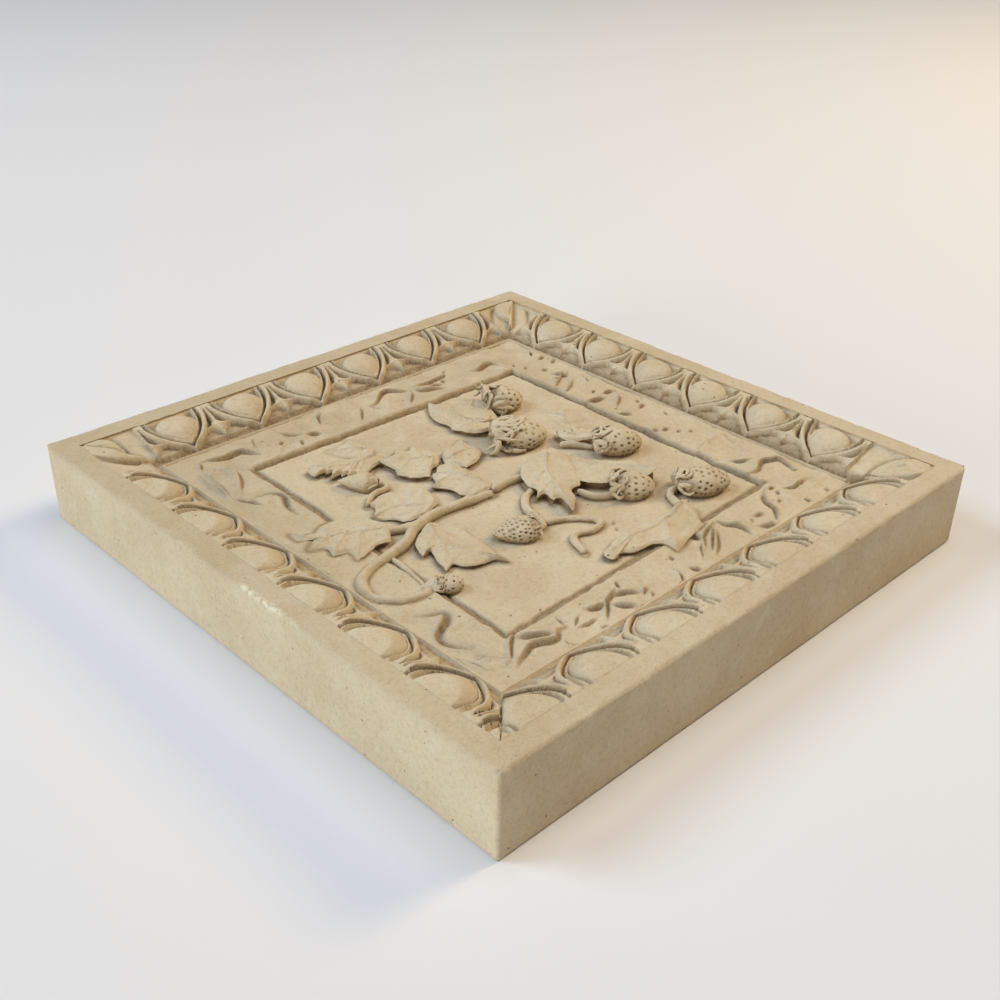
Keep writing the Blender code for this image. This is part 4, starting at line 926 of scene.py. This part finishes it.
def leaf_grid(knots, spine, lift_root, lift_tip, dome, sizes, line, seed):
    """Skin of a leaf and the painted shade on its side and under it. Each half of the smooth outline, from
    stalk to main tip, is matched by its share of length to the midrib; rows run from the midrib on the
    ground out under the edge, up the side, over the rolled edge and back to the midrib on top. Height on top
    is the edge's lift, a dome, veins as bell curves to every marked tip, pleats that fall away from the
    veins, and smooth noise. The lift grows evenly from stalk to tip, or as the cube of the way on a leaf
    that climbs a fruit."""
    marks = np.array([knot[2] if len(knot) > 2 else 0 for knot in knots])
    plan = np.array([knot[:2] for knot in knots]) * GRID
    tip = int(np.argmax(marks >= 2))
    fine = curve_through(plan, 4000, closed=True, sharp=(marks == 1) | (marks == 2))
    nearest = [int(np.argmin(np.linalg.norm(fine - place, axis=1))) for place in (plan[0], plan[tip])]
    fine = np.roll(fine, -nearest[0], axis=0)
    cut = (nearest[1] - nearest[0]) % len(fine)
    first = fine[np.linspace(0, cut, LEAF_HALF, endpoint=False).astype(int)]
    second = fine[np.linspace(cut, len(fine), LEAF_HALF, endpoint=False).astype(int)]
    outline = np.concatenate([first, second])
    share = np.concatenate([np.linspace(*ends, LEAF_HALF, endpoint=False) for ends in ((0, 1), (1, 0))])
    rib = curve_through(np.array(spine) * GRID, MIDRIB)
    middle = np.stack([np.interp(share * (MIDRIB - 1), np.arange(MIDRIB), rib[:, k]) for k in range(2)],
                      axis=-1)

    span = plan[tip] - plan[0]
    base = line["panel_z"] + sizes.leaf_rise
    climbs = lift_tip > 3
    veins = [np.concatenate([rib, plan[tip][None]])]
    for place, mark in zip(plan, marks):
        if mark == 1:
            along = np.linalg.norm(rib - place, axis=1)
            root = rib[max(0, int(np.argmin(along)) - VEIN_SLANT)]
            veins.append(np.stack([root, place]))

    def top(points, across):
        """Height on top of the leaf at plan points a share across from the edge to the midrib."""
        way = np.clip(((points - plan[0]) @ span) / (span @ span), -0.2, 1.2)
        lift = (lift_root + (lift_tip - lift_root) * (way ** 3 if climbs else way)) * MM
        away = np.full(points.shape[:-1], np.inf)
        ridge = np.zeros(points.shape[:-1])
        for k, vein in enumerate(veins):
            off, place = to_stroke(points, vein)
            away = np.minimum(away, off)
            height = sizes.vein_rise * (1.25 if k == 0 else 0.8) * (1 - 0.45 * place)
            ridge = np.maximum(ridge, height * bell(off, 0.30 * MM))
        pleat = -0.15 * np.clip(away, 0, 2.6 * MM) * ease(0.0, 0.3, across)
        here = on_plan(points[..., 0], points[..., 1])
        pleat = pleat + 0.26 * MM * lumps(here, 3.2 * MM, seed) + 0.35 * MM * lumps(here, 7.0 * MM, seed + 3)
        roll = -0.60 * MM * (1 - ease(0, 0.16, across))
        roll = roll + 0.45 * MM * lumps(here, 6.0 * MM, seed + 5) * (1 - across)
        swell = dome * MM * (1 - (1 - across) ** 2)
        return base + lift + roll + swell + (ridge + pleat) * ease(0.02, 0.2, across)

    gap = np.linalg.norm(outline - middle, axis=1, keepdims=True) + 1e-9
    edge_z = top(outline, np.zeros(len(outline)))
    ground = line["panel_z"] - 0.8 * MM
    under = outline - (outline - middle) * np.minimum(0.9 * MM / gap, 0.4)
    rows = [np.concatenate([place, np.full((len(place), 1), ground)], axis=1) for place in (middle, under)]
    # Painted shade on the leaf's underside and side wall
    shade = [1.0, 1.0]
    for drop, inset, dark in LEAF_WALL:
        place = outline - (outline - middle) * np.minimum(inset * MM / gap, 0.3)
        height = np.maximum(edge_z - drop * MM, ground + (3 - drop) * 0.02 * MM)
        rows.append(np.concatenate([place, height[:, None]], axis=1))
        shade.append(dark)
    for across in np.concatenate([[0.015, 0.04, 0.075], np.linspace(0.12, 0.96, 17), [1.0]]):
        place = outline + (middle - outline) * across
        rows.append(np.concatenate([place, top(place, np.full(len(place), across))[:, None]], axis=1))
        shade.append(0.0)
    grid = np.stack(rows)
    moved = weathered(grid, 0.15 * MM, 1.4 * MM, seed)
    grid[1:-1] = moved[1:-1]
    grid[-1, :, 2] = moved[-1, :, 2] * 0.5 + np.roll(moved[-1, ::-1, 2], 1) * 0.5
    recess = np.repeat(np.array(shade)[:, None], grid.shape[1], axis=1)
    return grid, recess


def sweep(path, up, half_width, half_height, around):
    """Skin of a stem: an ellipse carried along a path, wide across it and high along up."""
    ahead = np.gradient(path, axis=0)
    ahead /= np.linalg.norm(ahead, axis=1, keepdims=True)
    across = np.cross(ahead, up)
    across /= np.linalg.norm(across, axis=1, keepdims=True)
    raised = np.cross(across, ahead)
    turn = np.linspace(0, 2 * math.pi, around, endpoint=False)[None, :, None]
    return (path[:, None, :] + across[:, None, :] * half_width[:, None, None] * np.cos(turn)
            + raised[:, None, :] * half_height[:, None, None] * np.sin(turn))


def low_side(grid, amount):
    """Painted shade along the lower half of a swept skin: it is eased in as the ring runs under."""
    turn = np.linspace(0, 2 * math.pi, grid.shape[1], endpoint=False)
    return np.broadcast_to(amount * (1 - ease(-0.5, 0.45, np.sin(turn)))[None, :], grid.shape[:2])


def stem_grid(knots, width, height, ground, seed):
    """Stem lying on the ground: a sweep that swells and thins by smooth noise, is thickest at its middle by
    a sine of the way along, and closes round at both ends."""
    knots = np.array(knots) * GRID
    run = np.sum(np.linalg.norm(np.diff(knots, axis=0), axis=1))
    count = max(12, int(run / (0.55 * MM)))
    plan = curve_through(knots, count)
    t = np.linspace(0, 1, count)
    end = np.clip(np.minimum(t, 1 - t) * run / (width * 0.5 * MM), 0, 1)
    close = np.sqrt(1 - (1 - end) ** 2)
    swell = (1 + 0.16 * lumps(on_plan(*plan.T), 4 * MM, seed)) * (0.82 + 0.18 * np.sin(np.pi * t))
    half_height = height * 0.62 * MM * swell
    path = np.concatenate([plan, (ground + height * MM * swell - half_height)[:, None]], axis=1)
    up = np.tile([0.0, 0.0, 1.0], (count, 1))
    grid = sweep(path, up, width / 2 * MM * swell * close, half_height * close, STEM_AROUND)
    return weathered(grid, 0.17 * MM, 1.5 * MM, seed)


def berry_grid(place, heading, half_length, half_width, height, covered, taper, sizes, line, seed):
    """Skin of a strawberry, its painted shade, and its axes and sizes for the sepals. It is an egg shape
    about a level axis, whose girth goes as sin^0.8 and narrows to the tip. Seed pits sit in rings a seed gap
    apart, each ring turned half a step against the last, and a pit is exp(-d^3) of the distance from its
    middle.
    They are closer on a fruit that tapers more, and smaller and closer on one under 12 mm across. The
    points round it lie closest on the side that shows. Painted shade darkens the seed pits, the shoulder
    under the sepals and the lower side."""
    turn = math.radians(heading)
    ahead = np.array([math.cos(turn), math.sin(turn), 0.0])
    across = np.array([-math.sin(turn), math.cos(turn), 0.0])
    up = np.array([0.0, 0.0, 1.0])
    long, wide = half_length * GRID, half_width * GRID
    high = height * GRID * 0.60
    centre = np.array([place[0] * GRID, place[1] * GRID, line["panel_z"] + height * GRID - high])
    polar = np.linspace(0, math.pi, BERRY_ALONG)[:, None]
    low = 0.55
    phi = np.concatenate([np.linspace(-low, math.pi + low, BERRY_AROUND),
                          np.linspace(math.pi + low, 2 * math.pi - low, BERRY_UNDER + 2)[1:-1]])[None, :]

    def girth(angle):
        """Share of the full girth at an angle from the calyx, 0, to the tip, pi."""
        return np.abs(np.sin(angle)) ** 0.80 * (1 + taper * np.cos(angle) - 0.06 * np.cos(2 * angle))

    stretch = long * (1.12 + 0.1 * taper)
    run = polar * stretch
    small = min(1.0, wide / (6.0 * MM))
    closer = 0.72 if taper > 0.3 else 0.85 if taper > 0.16 else 1
    gap = sizes.seed_gap * closer * small ** 0.5
    ring = np.floor(run / gap) + 0.5
    ring_angle = ring * gap / stretch
    ring_girth = wide * np.maximum(girth(ring_angle), 0.05)
    seeds = np.maximum(3, np.round(2 * math.pi * ring_girth / (gap * 1.1)))
    step = phi * seeds / (2 * math.pi) + 0.5 * (np.floor(ring) % 2) + 0.13 * ring
    number = np.floor(step)
    jog = scatter(np.stack([number, np.broadcast_to(ring, number.shape)], -1).astype(np.int64), seed)
    off_turn = (step - number - 0.5 + 0.22 * jog) * 2 * math.pi / seeds * ring_girth
    off_run = run - ring * gap + 0.22 * np.sin(9 * jog) * gap
    away = np.hypot(off_turn, off_run) / (1 + 0.25 * np.sin(5 * jog))
    pit = np.exp(-(away / (sizes.seed_size * small)) ** 3) * (ring_angle > 0.5) * (ring_angle < 2.9)
    pit = pit * (jog > -0.8) * (taper < BUD_TAPER)
    size = 1 - 0.75 * MM * pit / wide
    g = girth(polar) * size
    grid = (centre - ahead * long * np.cos(polar)[..., None] * np.ones_like(phi)[..., None]
            + across * (wide * g * np.cos(phi))[..., None] + up * (high * g * np.sin(phi))[..., None])
    moved = weathered(grid, 0.12 * MM, 3.0 * MM, seed)
    grid[1:-1] = moved[1:-1]
    # Painted shade in the pits, on the shoulder under the sepals, and on the lower side
    hidden = 1 - ease(0.8, 1.25, polar + 0.25 * lumps(grid, 2.2 * MM, seed + 9))
    hidden = (0.95 if covered > 0.9 else 0.4) * hidden
    foot = 0.6 * (1 - ease(-0.35, 0.15, np.sin(phi)))
    recess = np.maximum(np.clip(pit * 1.3, 0, 0.9), np.maximum(hidden, foot))
    return grid, recess, (centre, ahead, across, up, long, wide, high)


def sepal_grids(body, count, curl, cover, seed):
    """Sepals of a berry: pointed strips that leave the calyx, lie back over the shoulder and curl up at the
    tip. Each is a sweep along a curve through five places, with its own lean, reach and hook. It turns round
    the fruit as it goes, and two sines move it to the side and outwards. Its width goes as sin^0.6."""
    centre, ahead, across, up, long, wide, high = body
    calyx = centre - ahead * long * 0.92
    grids = []
    for k in range(count):
        wild = scatter(np.array([[k, 1], [k, 2], [k, 3], [k, 4], [k, 5]]), seed)
        lean = math.pi * ((k + 0.5) / count * 1.24 - 0.12) + 0.2 * wild[0]
        swirl = 0.7 * curl * wild[3]
        aside, turned, end = (across * math.cos(angle) * wide + up * math.sin(angle) * high
                              for angle in (lean, lean + 0.5 * swirl, lean + 1.3 * swirl))
        out = aside / np.linalg.norm(aside)
        reach = cover * (0.50 + 0.34 * wild[1] + 0.16 * (k % 2))
        reach = -0.2 if cover > 1.2 and wild[1] < -0.4 else reach
        lift = 0.02 + 0.10 * curl * (1 + wild[2])
        hook = curl * (0.30 + 0.3 * wild[4])
        knots = [calyx - ahead * long * 0.05 + aside * 0.05,
                 calyx + aside * 0.66 - ahead * long * (0.10 * curl),
                 calyx + aside * (1.0 + lift * 0.4) + ahead * long * reach * 0.40,
                 calyx + turned * (1.0 + lift) + ahead * long * reach * 0.85,
                 calyx + end * (1.0 + lift * 1.5) + ahead * long * (reach * 0.95 - hook)]
        path = curve_through(knots, SEPAL_ALONG)
        t = np.linspace(0, 1, SEPAL_ALONG)
        side_way = np.cross(ahead, out)
        path = path + side_way * (1.6 * MM * curl * wild[4] * np.sin(t * math.pi * 2.6 + wild[0]))[:, None]
        path = path + out * (0.8 * MM * curl * np.sin(t * math.pi * 3.6 + 3 * wild[4]) * t)[:, None]
        shape = np.sin(np.pi * t ** 0.7) ** 0.6 * (1 - 0.25 * t)
        size = min(1.0, wide / (6.5 * MM)) * (0.85 + 0.15 * cover)
        broad, thick = (0.95, 0.95) if cover > 0.9 else (1.10, 0.70)
        half_width = (broad + 0.30 * wild[2]) * shape * size * MM
        half_height = thick * shape ** 0.6 * size * MM
        grid = sweep(path, np.tile(out, (SEPAL_ALONG, 1)), half_width, half_height, SEPAL_AROUND)
        grids.append(weathered(grid, 0.20 * MM, 1.2 * MM, seed + k))
    return grids


class Term:
    """One output of a shader node. Arithmetic on it adds Math nodes."""

    def __init__(self, graph, socket):
        self.graph = graph
        self.socket = socket

    def math(self, operation, first, second):
        """Term of a Math node on two values or terms."""
        return self.graph.node("ShaderNodeMath", {"operation": operation}, {0: first, 1: second})

    def __add__(self, other):
        return self.math("ADD", self, other)

    __radd__ = __add__

    def __mul__(self, other):
        return self.math("MULTIPLY", self, other)

    __rmul__ = __mul__

    def __sub__(self, other):
        return self.math("SUBTRACT", self, other)

    def __rsub__(self, other):
        return self.math("SUBTRACT", other, self)

    def rise(self, low, high, start=0.0, end=1.0):
        """Smooth step from low to high."""
        return self.graph.node("ShaderNodeMapRange", {"interpolation_type": "SMOOTHSTEP"},
                               {0: self, 1: low, 2: high, 3: start, 4: end})


class Graph:
    """Node tree of one material."""

    def __init__(self, name):
        self.material = bpy.data.materials.new(name)
        self.material.use_nodes = True
        self.tree = self.material.node_tree
        self.shader = self.tree.nodes["Principled BSDF"]

    def node(self, kind, settings=None, inputs=None, output=0):
        """Add a node, make its settings, then give its sockets values or links."""
        node = self.tree.nodes.new(kind)
        for name, value in (settings or {}).items():
            setattr(node, name, value)
        for name, value in (inputs or {}).items():
            self.feed(node.inputs[name], value)
        return Term(self, node.outputs[output])

    def feed(self, socket, value):
        """Link a term to a socket, or set its value."""
        if isinstance(value, Term):
            self.tree.links.new(value.socket, socket)
        else:
            socket.default_value = value

    def mix(self, share, first, second):
        """Colour between two by a share."""
        return self.node("ShaderNodeMix", {"data_type": "RGBA"}, {0: share, 6: first, 7: second}, 2)

    def noise(self, place, scale, detail, rough):
        """Fractal noise from 0 to 1 about a half."""
        return self.node("ShaderNodeTexNoise", {}, {"Vector": place, "Scale": scale, "Detail": detail,
                                                    "Roughness": rough})


def stone_material(colours):
    """Matt cast stone: cream and tan clouds, a fine sandy grain, pale dust, brown painted shade with some
    grime in the recesses and under the relief, sparse dark pinholes, and pale freshly broken stone in the
    chips with a painted highlight along the arris."""
    graph = Graph(STONE)
    place = graph.node("ShaderNodeTexCoord", output=3)
    recess = graph.node("ShaderNodeAttribute", {"attribute_name": "recess"}, output=2)
    chip_and_highlight = graph.node("ShaderNodeAttribute", {"attribute_name": "chip_and_highlight"}, output=2)
    cloud = graph.noise(place, 38.0, 4.0, 0.6)
    patch = graph.noise(place, 130.0, 3.0, 0.6)
    sand = graph.noise(place, 1700.0, 2.0, 0.7)
    grit = graph.noise(place, 620.0, 3.0, 0.65)
    cells = graph.node("ShaderNodeTexVoronoi", {"feature": "F1"}, {"Vector": place, "Scale": 260.0})
    tint = graph.node("ShaderNodeTexVoronoi", {"feature": "F1"}, {"Vector": place, "Scale": 260.0}, 1)
    chance = graph.node("ShaderNodeSeparateColor", {}, {0: tint})
    hole = cells.rise(0.05, 0.11, 1.0, 0.0) * chance.rise(0.70, 0.74)
    body = graph.mix(cloud.rise(0.35, 0.68), (*colours.cream, 1), (*colours.tan, 1))
    body = graph.mix(patch.rise(0.48, 0.72) * 0.45, body, (*colours.dust, 1))
    # Painted shade in the recesses and under the relief, with some grime, read from the recess attribute
    darkening = recess * 0.72 + recess * grit.rise(0.35, 0.65) * 0.28
    body = graph.mix(darkening, body, (*colours.shade, 1))
    body = graph.mix(sand.rise(0.30, 0.46, 0.17, 0.0), body, (*colours.shade, 1))
    body = graph.mix(sand.rise(0.54, 0.70, 0.0, 0.35), body, (*colours.dust, 1))
    body = graph.mix(grit.rise(0.32, 0.50, 0.16, 0.0), body, (*colours.shade, 1))
    # Pale colour of freshly broken stone and a painted highlight along the arris
    body = graph.mix(chip_and_highlight * grit.rise(0.40, 0.52, 0.15, 1.0), body, (*colours.chip_and_highlight, 1))
    body = graph.mix(hole * 0.75, body, (*colours.shade, 1))
    graph.feed(graph.shader.inputs["Base Color"], body)
    graph.feed(graph.shader.inputs["Roughness"], 0.86 + patch * 0.12)
    graph.shader.inputs["Specular IOR Level"].default_value = 0.25
    height = sand * 0.09 + grit * 0.25 + patch * 0.30 - hole * 0.35
    bump = graph.node("ShaderNodeBump", {}, {"Strength": 0.9, "Distance": 0.0010, "Height": height})
    graph.feed(graph.shader.inputs["Normal"], bump)


def floor_material(colours):
    """Plain pale floor."""
    graph = Graph("pale_floor")
    graph.shader.inputs["Base Color"].default_value = (*colours.floor, 1)
    graph.shader.inputs["Roughness"].default_value = 0.8
    graph.shader.inputs["Specular IOR Level"].default_value = 0.2
    return graph.material


# The eye's place and the camera's turn, in sides of the tile, with the rim's top as height 0
EYE = (-1.2047, -1.2010, 0.9089)
AHEAD = (0.60916, 0.61364, -0.50237)
LEVEL = (0.71740, -0.69639, 0.01926)
LENS = 45.31

# Lights: azimuth they come from and elevation in degrees, distance and size in metres, watts, and colour
LIGHTS = {
    "window_left": (136, 42, 2.5, 1.2, 29.0, (0.69, 0.85, 1.0)),
    "left_low": (180, 11, 2.5, 1.2, 24.5, (1.0, 0.98, 0.90)),
    "ceiling": (-35, 78, 2.5, 2.0, 26.5, (1.0, 0.98, 1.0)),
    "window_right": (-15, 37, 1.6, 0.5, 10.5, (1.0, 0.73, 0.32)),
}

# Even light from all round, a linear colour
SKY = (0.032, 0.028, 0.023)


class TILE_OT_stage(bpy.types.Operator):
    """Make the floor, the lights and the camera."""
    bl_idname = "tile.stage"
    bl_label = "Floor, light and camera"

    def execute(self, context):
        scene = context.scene
        colours = scene.tile_colours
        reach = 3.0
        mesh = bpy.data.meshes.new("floor")
        mesh.from_pydata([(-reach, -reach, 0), (reach, -reach, 0), (reach, reach, 0), (-reach, reach, 0)],
                         [], [(0, 1, 2, 3)])
        floor = bpy.data.objects.new("floor", mesh)
        mesh.materials.append(floor_material(colours))
        scene.collection.objects.link(floor)
        for name, (azimuth, elevation, distance, size, power, tint) in LIGHTS.items():
            lamp = bpy.data.lights.new(name, "AREA")
            lamp.shape = "DISK"
            lamp.size = size
            lamp.energy = power
            lamp.color = tint
            a, e = math.radians(azimuth), math.radians(elevation)
            way = Vector((math.cos(a) * math.cos(e), math.sin(a) * math.cos(e), math.sin(e)))
            light = bpy.data.objects.new(name, lamp)
            light.location = way * distance
            light.rotation_euler = way.to_track_quat("Z", "Y").to_euler()
            scene.collection.objects.link(light)
        world = bpy.data.worlds.new("room")
        world.use_nodes = True
        sky = world.node_tree.nodes.get("Background") or world.node_tree.nodes.new("ShaderNodeBackground")
        sky.inputs["Color"].default_value = (*SKY, 1)
        sky.inputs["Strength"].default_value = 1.0
        scene.world = world
        scene.view_settings.view_transform = "Standard"
        camera = bpy.data.objects.new("camera", bpy.data.cameras.new("camera"))
        camera.data.lens = LENS
        camera.data.sensor_width = 36.0
        camera.data.clip_start = 0.01
        ahead, level = Vector(AHEAD), Vector(LEVEL)
        above = level.cross(ahead)
        turn = Matrix((level, above, -ahead)).transposed().to_4x4()
        place = Vector(EYE) * SIDE + Vector((0, 0, scene.tile_sizes.thickness))
        camera.matrix_world = Matrix.Translation(place) @ turn
        scene.collection.objects.link(camera)
        scene.camera = camera
        return {"FINISHED"}


class TILE_OT_slab(bpy.types.Operator):
    """Make the slab: back, sides, chipped arris and plain rim."""
    bl_idname = "tile.slab"
    bl_label = "Slab and rim"

    def execute(self, context):
        sizes = context.scene.tile_sizes
        stone_material(context.scene.tile_colours)
        grid, chip_and_highlight, darkening = slab_grid(sizes, levels(sizes))
        make_round("slab", grid, sharp=70, recess=darkening, chip_and_highlight=chip_and_highlight)
        return {"FINISHED"}


class TILE_OT_moulding(bpy.types.Operator):
    """Make the four mitred sides of the egg-and-dart moulding."""
    bl_idname = "tile.moulding"
    bl_label = "Egg-and-dart moulding"

    def execute(self, context):
        sizes = context.scene.tile_sizes
        for side in range(4):
            moulding_strip(side, sizes, levels(sizes))
        return {"FINISHED"}


class TILE_OT_ground(bpy.types.Operator):
    """Make the level band with its low vine work, in four mitred sides, and the sunk panel's ground."""
    bl_idname = "tile.ground"
    bl_label = "Band and panel"

    def execute(self, context):
        sizes = context.scene.tile_sizes
        line = levels(sizes)
        under = line["panel_z"] - 0.003
        for side in range(4):
            band_strip(side, sizes, line, under)
        across = np.linspace(-panel_edge(line), panel_edge(line), PANEL_ROWS)
        x, y = np.meshgrid(across, across)
        z, dark = ground_height(x, y, sizes, line)
        make_block("panel_ground", x, y, z, under, dark)
        return {"FINISHED"}


class TILE_OT_leaves(bpy.types.Operator):
    """Make the leaves of the plant."""
    bl_idname = "tile.leaves"
    bl_label = "Leaves"

    def execute(self, context):
        sizes = context.scene.tile_sizes
        line = levels(sizes)
        for seed, (name, shape) in enumerate(LEAVES.items()):
            grid, recess = leaf_grid(*shape, sizes, line, 100 + 11 * seed)
            grid[..., 2] = under_rim(grid[..., 2])
            make_round(f"leaf_{name}", grid, sharp=60, recess=recess)
        return {"FINISHED"}


class TILE_OT_stems(bpy.types.Operator):
    """Make the stems, stalks and the tendril on the panel."""
    bl_idname = "tile.stems"
    bl_label = "Stems"

    def execute(self, context):
        sizes = context.scene.tile_sizes
        line = levels(sizes)
        for seed, (name, (knots, width, height)) in enumerate(STEMS.items()):
            grid = stem_grid(knots, width, height, line["panel_z"], 300 + 5 * seed)
            make_round(f"stem_{name}", grid, sharp=80, recess=low_side(grid, 0.7))
        return {"FINISHED"}


class TILE_OT_fruit(bpy.types.Operator):
    """Make the strawberries with their seed pits and sepals."""
    bl_idname = "tile.fruit"
    bl_label = "Fruit"

    def execute(self, context):
        sizes = context.scene.tile_sizes
        line = levels(sizes)
        for seed, (name, shape) in enumerate(BERRIES.items()):
            place, heading, half_length, half_width, height, sepals, curl, cover, taper = shape
            grid, recess, body = berry_grid(place, heading, half_length, half_width, height, cover, taper,
                                            sizes, line, 500 + 17 * seed)
            make_round(f"berry_{name}", grid, sharp=80, recess=recess)
            for k, sepal in enumerate(sepal_grids(body, sepals, curl, cover, 700 + 23 * seed)):
                sepal[..., 2] = under_rim(sepal[..., 2])
                make_round(f"sepal_{name}_{k}", sepal, sharp=80, recess=low_side(sepal, 0.7))
        return {"FINISHED"}


class TILE_PT_panel(bpy.types.Panel):
    """Lists the tile's steps, sizes and colours."""
    bl_idname = "TILE_PT_panel"
    bl_label = "Relief wall tile"
    bl_space_type = "VIEW_3D"
    bl_region_type = "UI"
    bl_category = "Tile"

    def draw(self, context):
        for step in STEPS:
            self.layout.operator(step.bl_idname)
        for group in (context.scene.tile_sizes, context.scene.tile_colours):
            for name in group.bl_rna.properties.keys():
                if name not in ("rna_type", "name"):
                    self.layout.prop(group, name)


STEPS = (TILE_OT_stage, TILE_OT_slab, TILE_OT_moulding, TILE_OT_ground, TILE_OT_leaves, TILE_OT_stems,
         TILE_OT_fruit)
CLASSES = (TileSizes, TileColours, *STEPS, TILE_PT_panel)


def register():
    """Register the classes and put the sizes and colours on the scene."""
    for kind in CLASSES:
        bpy.utils.register_class(kind)
    bpy.types.Scene.tile_sizes = PointerProperty(type=TileSizes)
    bpy.types.Scene.tile_colours = PointerProperty(type=TileColours)


def unregister():
    """Take them off again."""
    del bpy.types.Scene.tile_sizes
    del bpy.types.Scene.tile_colours
    for kind in reversed(CLASSES):
        bpy.utils.unregister_class(kind)


def main():
    """Make the stage and the tile."""
    register()
    bpy.ops.tile.stage()
    bpy.ops.tile.slab()
    bpy.ops.tile.moulding()
    bpy.ops.tile.ground()
    bpy.ops.tile.leaves()
    bpy.ops.tile.stems()
    bpy.ops.tile.fruit()


if __name__ == "__main__":
    main()
